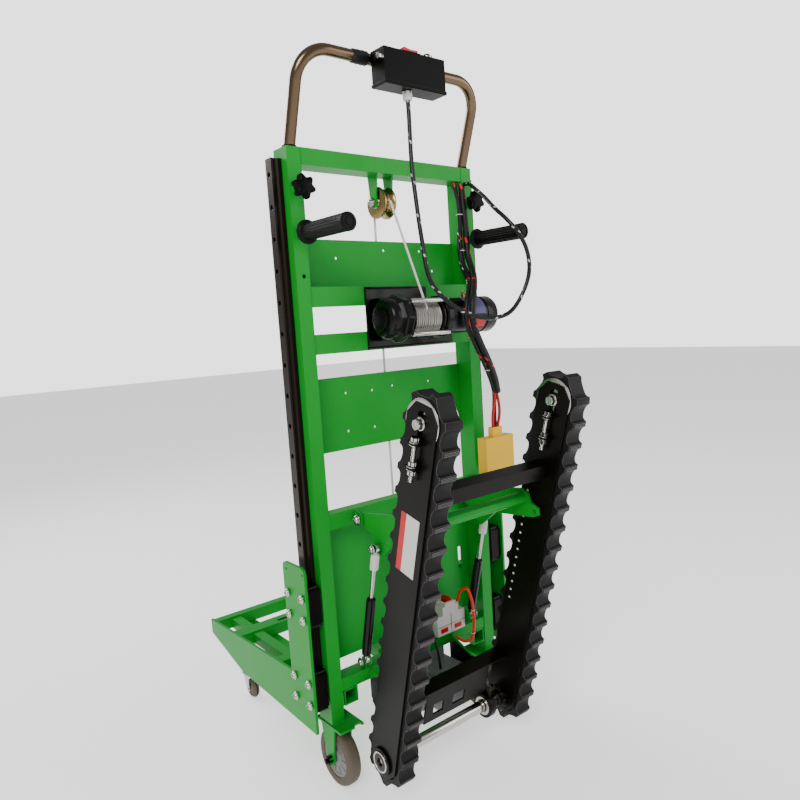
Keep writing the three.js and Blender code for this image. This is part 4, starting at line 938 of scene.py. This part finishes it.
def gas_strut(name, side):
    """A black cylinder with a plated rod, a pale sleeve at its upper end and round end fittings."""
    foot, top = (place(side * STRUT["x"], *STRUT[end]) for end in ("foot", "top"))
    ahead = (top - foot).normalized()
    length = (top - foot).length / MM
    mouth = length * 0.56
    profile = [(CORE, 11), (5, 11), (7, 13), (9.4, 16), (9.7, 19), (9.7, mouth - 5), (9.2, mouth - 3.4),
               (9.7, mouth - 1.8), (9, mouth), (5.1, mouth), (5.1, mouth - 64), (CORE, mouth - 64)]
    build(f"strut_cylinder_{name}", Shape().turned(profile, foot, ahead, 36), WINCH_BLACK, f"strut_{name}",
          "black_paint", replaces=[f"strut_body_{name}"])
    lower = Shape().turned(round_block(9.2, -5, 5, 1), foot, "x", 32)
    lower.turned(round_block(5.2, 6, 14, 0.5), foot, ahead, 24)
    build(f"strut_lower_eye_{name}", lower, CHROME, f"strut_{name}")
    rod = Shape().turned(round_block(4.6, mouth - 22, length - 8, 0.4), foot, ahead, 28)
    build(f"strut_piston_{name}", rod, CHROME, f"strut_rod_{name}",
          replaces=[f"strut_rod_{name}"])
    profile = [(4.8, length - 48), (8.6, length - 47), (9, length - 45), (9, length - 20),
               (7, length - 12), (4.8, length - 11)]
    build(f"strut_sleeve_{name}", Shape().turned(profile, foot, ahead, 32, closed=True), WHITE,
          f"strut_rod_{name}", "bright_steel")
    upper = Shape().turned(round_block(9.2, -5, 5, 1), top, "x", 32)
    build(f"strut_upper_eye_{name}", upper, CHROME, f"strut_rod_{name}")


def weld_bead(name, start, end, radius):
    """A rippled weld bead between two points of the mast."""
    a, b = place(*start), place(*end)
    steps = max(int((b - a).length / MM / 1.6), 4)
    points = [a.lerp(b, k / steps) for k in range(steps + 1)]
    shape = Shape().tube(points, radius, 10,
                         swell=lambda i: 0.82 + 0.18 * sin(i * 2.2) + 0.06 * sin(i * 0.7))
    build(name, shape, GREEN, "mast", smooth=60)


def welds():
    beads = (("fork_rear", (205, -0.5, 151), (235, -0.5, 151), 2.6),
             ("fork_inner", (205, 0, 151), (205, 46, 151), 2.4),
             ("crossbar", (205, -0.2, 1276), (205, -0.2, 1306), 1.3),
             ("winch_upper", (205, -0.2, 1007), (205, -0.2, 1044), 1.5),
             ("winch_lower", (205, -0.2, 914), (205, -0.2, 951), 1.5),
             ("pivot", (205, -0.2, 559), (205, -0.2, 590), 1.5),
             ("tube", (205, -0.2, 216), (205, -0.2, 240), 1.6),
             ("leg", (205, 0.5, 183), (205, 0.5, 212), 2.0),
             ("grip", (212, -0.6, 1137), (228, -0.6, 1137), 1.8),
             ("arm", (136, -1, 561), (144, -1, 561), 2.0))
    for name, side in SIDES:
        for label, (x0, *start), (x1, *end), radius in beads:
            weld_bead(f"weld_{label}_{name}", (side * x0, *start), (side * x1, *end), radius)


# ---- electrical pieces
def breaker_details():
    """Seams, status windows and terminal screws of the two-pole breaker."""
    seam = Shape().block((95.4, -5.5, 242), (96.6, 31.5, 287.6)).block((53.5, 12.6, 246), (54.2, 13.4, 287))
    seam.block((53.4, -5.4, 262), (138.6, -4.9, 262.8))
    build("breaker_seams", seam, TAPE, "mast", "black_plastic")
    windows, screws = Shape(), Shape()
    for x in (63, 105):
        windows.block((x, -5.8, 247), (x + 22, -4.9, 258))
    build("breaker_windows", windows, RED, "mast", bevel=0.3)
    for x in (62, 129):
        screws.turned(solid((3.6, 0), (3.8, 0.4), (3.6, 1.2)), place(x, 13, 287.4), "z", 20)
    build("breaker_screws", screws, CHROME, "mast")


def motor_details():
    fins = Shape()
    for k in range(9):
        centre = place(-76 + k * 9, -20, 143)
        fins.turned(ring_profile(36.5, 33.5, 1.6, 0.4), centre, "x", 44, closed=True)
    build("motor_fins", fins, GREY, "mast")
    for k, (x, y) in enumerate(((16, -52), (76, -52), (16, 12), (76, 12))):
        bolt(f"motor_case_bolt_{k}", place(x, y, 186), (0, 0, 1), 4.4, 3.2, "mast")


CONTROL_ROUTE = [(-8, -88, 1399.5), (-8, -89, 1375), (-10, -91, 1340), (-13, -95, 1270), (-15, -104, 1204),
                 (-15, -115, 1125), (-10, -128, 1046), (17, -140, 1006), (58, -155, 978), (110, -168, 965),
                 (157, -180, 975), (192, -190, 1019), (204, -196, 1060), (198, -197, 1101),
                 (181, -190, 1138), (168, -172, 1166), (166, -142, 1192), (177, -102, 1222),
                 (194, -58, 1248), (209, -25, 1265), (213.5, -13, 1269.5), (214, -1.1, 1270)]
BATTERY_ROUTE = [(189, 6, 1274.2), (189, 5.7, 1264), (188, 0, 1246), (187, -7, 1222), (187, -9, 1099),
                 (176, -40, 1062), (140, -78, 1036), (106, -106, 1008), (97, -110, 978), (103, -108, 948),
                 (127, -99, 915), (167, -84, 868), (201, -68, 827), (222, -56, 794), (229, -47, 758),
                 (230, -45, 735), (230, -45, 712.4)]
RED_ROUTE = [(129, 12, 288.9), (129, 5, 312), (126, -12, 336), (130, -27, 343), (136, -34, 318),
             (138, -37, 280), (136, -38, 246), (127, -36, 222), (113, -28, 220), (106, -14, 226),
             (104, -0.7, 227)]
BLACK_ROUTE = [(53.4, 12, 300), (45, 11.5, 299.5), (34, 0, 293), (27, -16, 275), (26, -28, 250),
               (27, -34, 222), (29, -36, 202), (30, -36, 186.4)]


def cable(name, route, radius, material, node, slot, count=200):
    """A cable along a given route; its real length is worked out but not used."""
    points, length = curve_points(route, count)
    shape = Shape().tube(points, radius, 20)
    obj = build(name, shape, material, "mast", slot, smooth=60, replaces=[node])


def cables():
    cable("control_cable", CONTROL_ROUTE, 4.5, CONTROL_SLEEVE, "control_lead", "cable_black")
    cable("battery_cable", BATTERY_ROUTE, 5, BATTERY_SLEEVE, "battery_lead", "cable_black")
    cable("breaker_cable_red", RED_ROUTE, 3.5, ORANGE_WIRE, "breaker_wire_red", "cable_red",
          count=120)
    cable("breaker_cable_black", BLACK_ROUTE, 3, BLACK_WIRE, "breaker_wire_black", "cable_black",
          count=80)
    for label, direction, radius, spots in (
            ("harness", (0.02, 0, 1), 7.2, ((187, -7.5, 1200), (187, -8.6, 1120), (154, -66, 1044),
                                            (184, -77, 849))),
            ("wire", (0, 0.1, 1), 4.4, ((137.6, -36.4, 290), (133, -37.6, 236)))):
        for k, spot in enumerate(spots):
            zip_tie(f"{label}_tie_{k}", place(*spot), direction, radius, "mast")


def harness_wires():
    """The second sleeved bundle beside the battery lead and the bare red wires at its connector."""
    for name, radius, material, route in (
            ("harness_bundle", 7, BATTERY_SLEEVE,
             [(199, -6, 1268), (198, -9, 1230), (198, -14, 1180), (198, -17, 1110), (186, -44, 1068),
              (150, -84, 1040), (115, -115, 1010), (106, -120, 978), (112, -118, 948), (136, -108, 915),
              (176, -92, 868), (209, -75, 827), (228, -62, 796)]),
            ("harness_branch", 3.4, CONTROL_SLEEVE,
             [(180, -8, 1160), (178, -10, 1120), (180, -14, 1085), (172, -38, 1052)]),
            ("connector_wire_a", 3.4, RED_WIRE,
             [(226, -58, 798), (234, -57, 772), (240, -52, 742), (238, -46, 712)]),
            ("connector_wire_b", 3.4, RED_WIRE,
             [(223, -58, 798), (221, -55, 768), (219, -51, 740), (222, -46, 712)])):
        points, _ = curve_points(route, 60)
        build(name, Shape().tube(points, radius, 16), material, "mast", "cable_black", smooth=60)


# ---- floor, light and camera
def surroundings():
    """A plain pale floor, a bright even world and three soft lamps."""
    scene = bpy.context.scene
    floor_mesh = bpy.data.meshes.new("floor")
    reach = 14
    corners = [(-reach, -reach, 0), (reach, -reach, 0), (reach, reach, 0), (-reach, reach, 0)]
    floor_mesh.from_pydata(corners, [], [(0, 1, 2, 3)])
    floor = bpy.data.objects.new("floor", floor_mesh)
    scene.collection.objects.link(floor)
    pale = finish_of("pale_floor", (0.90, 0.90, 0.90), 0.75, darker=0.99, bump=0.0)
    glow = pale.node_tree.nodes["Principled BSDF"]
    glow.inputs["Emission Color"].default_value = (1, 1, 1, 1)
    glow.inputs["Emission Strength"].default_value = 0.7
    floor_mesh.materials.append(pale)
    world = bpy.data.worlds.new("studio")
    world.use_nodes = True
    background = world.node_tree.nodes["Background"]
    background.inputs["Color"].default_value = (1, 1, 1, 1)
    seen = add_node(world.node_tree, "ShaderNodeLightPath")
    strength = add_node(world.node_tree, "ShaderNodeMapRange", {"To Min": 0.55, "To Max": 2.4},
                        {"Value": seen.outputs["Is Camera Ray"]})
    world.node_tree.links.new(strength.outputs["Result"], background.inputs["Strength"])
    scene.world = world
    for name, spot, aim, power, size in (
            ("key", (-2.6, -2.4, 3.0), (0, 0, 0.8), 110, 1.8),
            ("fill", (2.4, -2.6, 1.8), (0, 0, 0.7), 45, 2.2),
            ("rim", (-0.6, 2.6, 2.6), (0, 0, 0.9), 60, 1.6)):
        light = bpy.data.lights.new(name, "AREA")
        light.energy = power
        light.size = size
        lamp = bpy.data.objects.new(name, light)
        scene.collection.objects.link(lamp)
        lamp.location = spot
        lamp.rotation_euler = (Vector(aim) - Vector(spot)).to_track_quat("-Z", "Y").to_euler()


VIEW = {"turn": -40.17, "tip": -6.75, "roll": -3.33, "eye": (-906.5, -1196.4, 968.6), "lens": 31.365,
        "shift": (-0.0496, 0.0023)}


def camera():
    """The main view, from the operator's left: turned, tipped down and slightly rolled."""
    turn, tip, roll = (radians(VIEW[k]) for k in ("turn", "tip", "roll"))
    ahead = Vector((-sin(turn) * cos(tip), cos(turn) * cos(tip), sin(tip)))
    right = Vector((cos(turn), sin(turn), 0))
    up = right.cross(ahead)
    rolled_right = right * cos(roll) + up * sin(roll)
    rolled_up = up * cos(roll) - right * sin(roll)
    data = bpy.data.cameras.new("camera")
    data.sensor_width = 36
    data.lens = VIEW["lens"]
    data.shift_x, data.shift_y = VIEW["shift"]
    data.clip_start = 0.05
    eye = bpy.data.objects.new("camera", data)
    axes = Matrix((rolled_right, rolled_up, -ahead)).transposed().to_4x4()
    eye.matrix_world = Matrix.Translation(place(*VIEW["eye"])) @ axes
    bpy.context.scene.collection.objects.link(eye)
    bpy.context.scene.camera = eye


dress_frame()
track_details()
wheels()
hand_parts()
winch_details()
pulley_details()
ropes()
for label, hand in SIDES:
    rail_bolts(label, hand)
    carriage_bolts(label, hand)
arm_fittings()
welds()
breaker_details()
motor_details()
cables()
harness_wires()
surroundings()
camera()
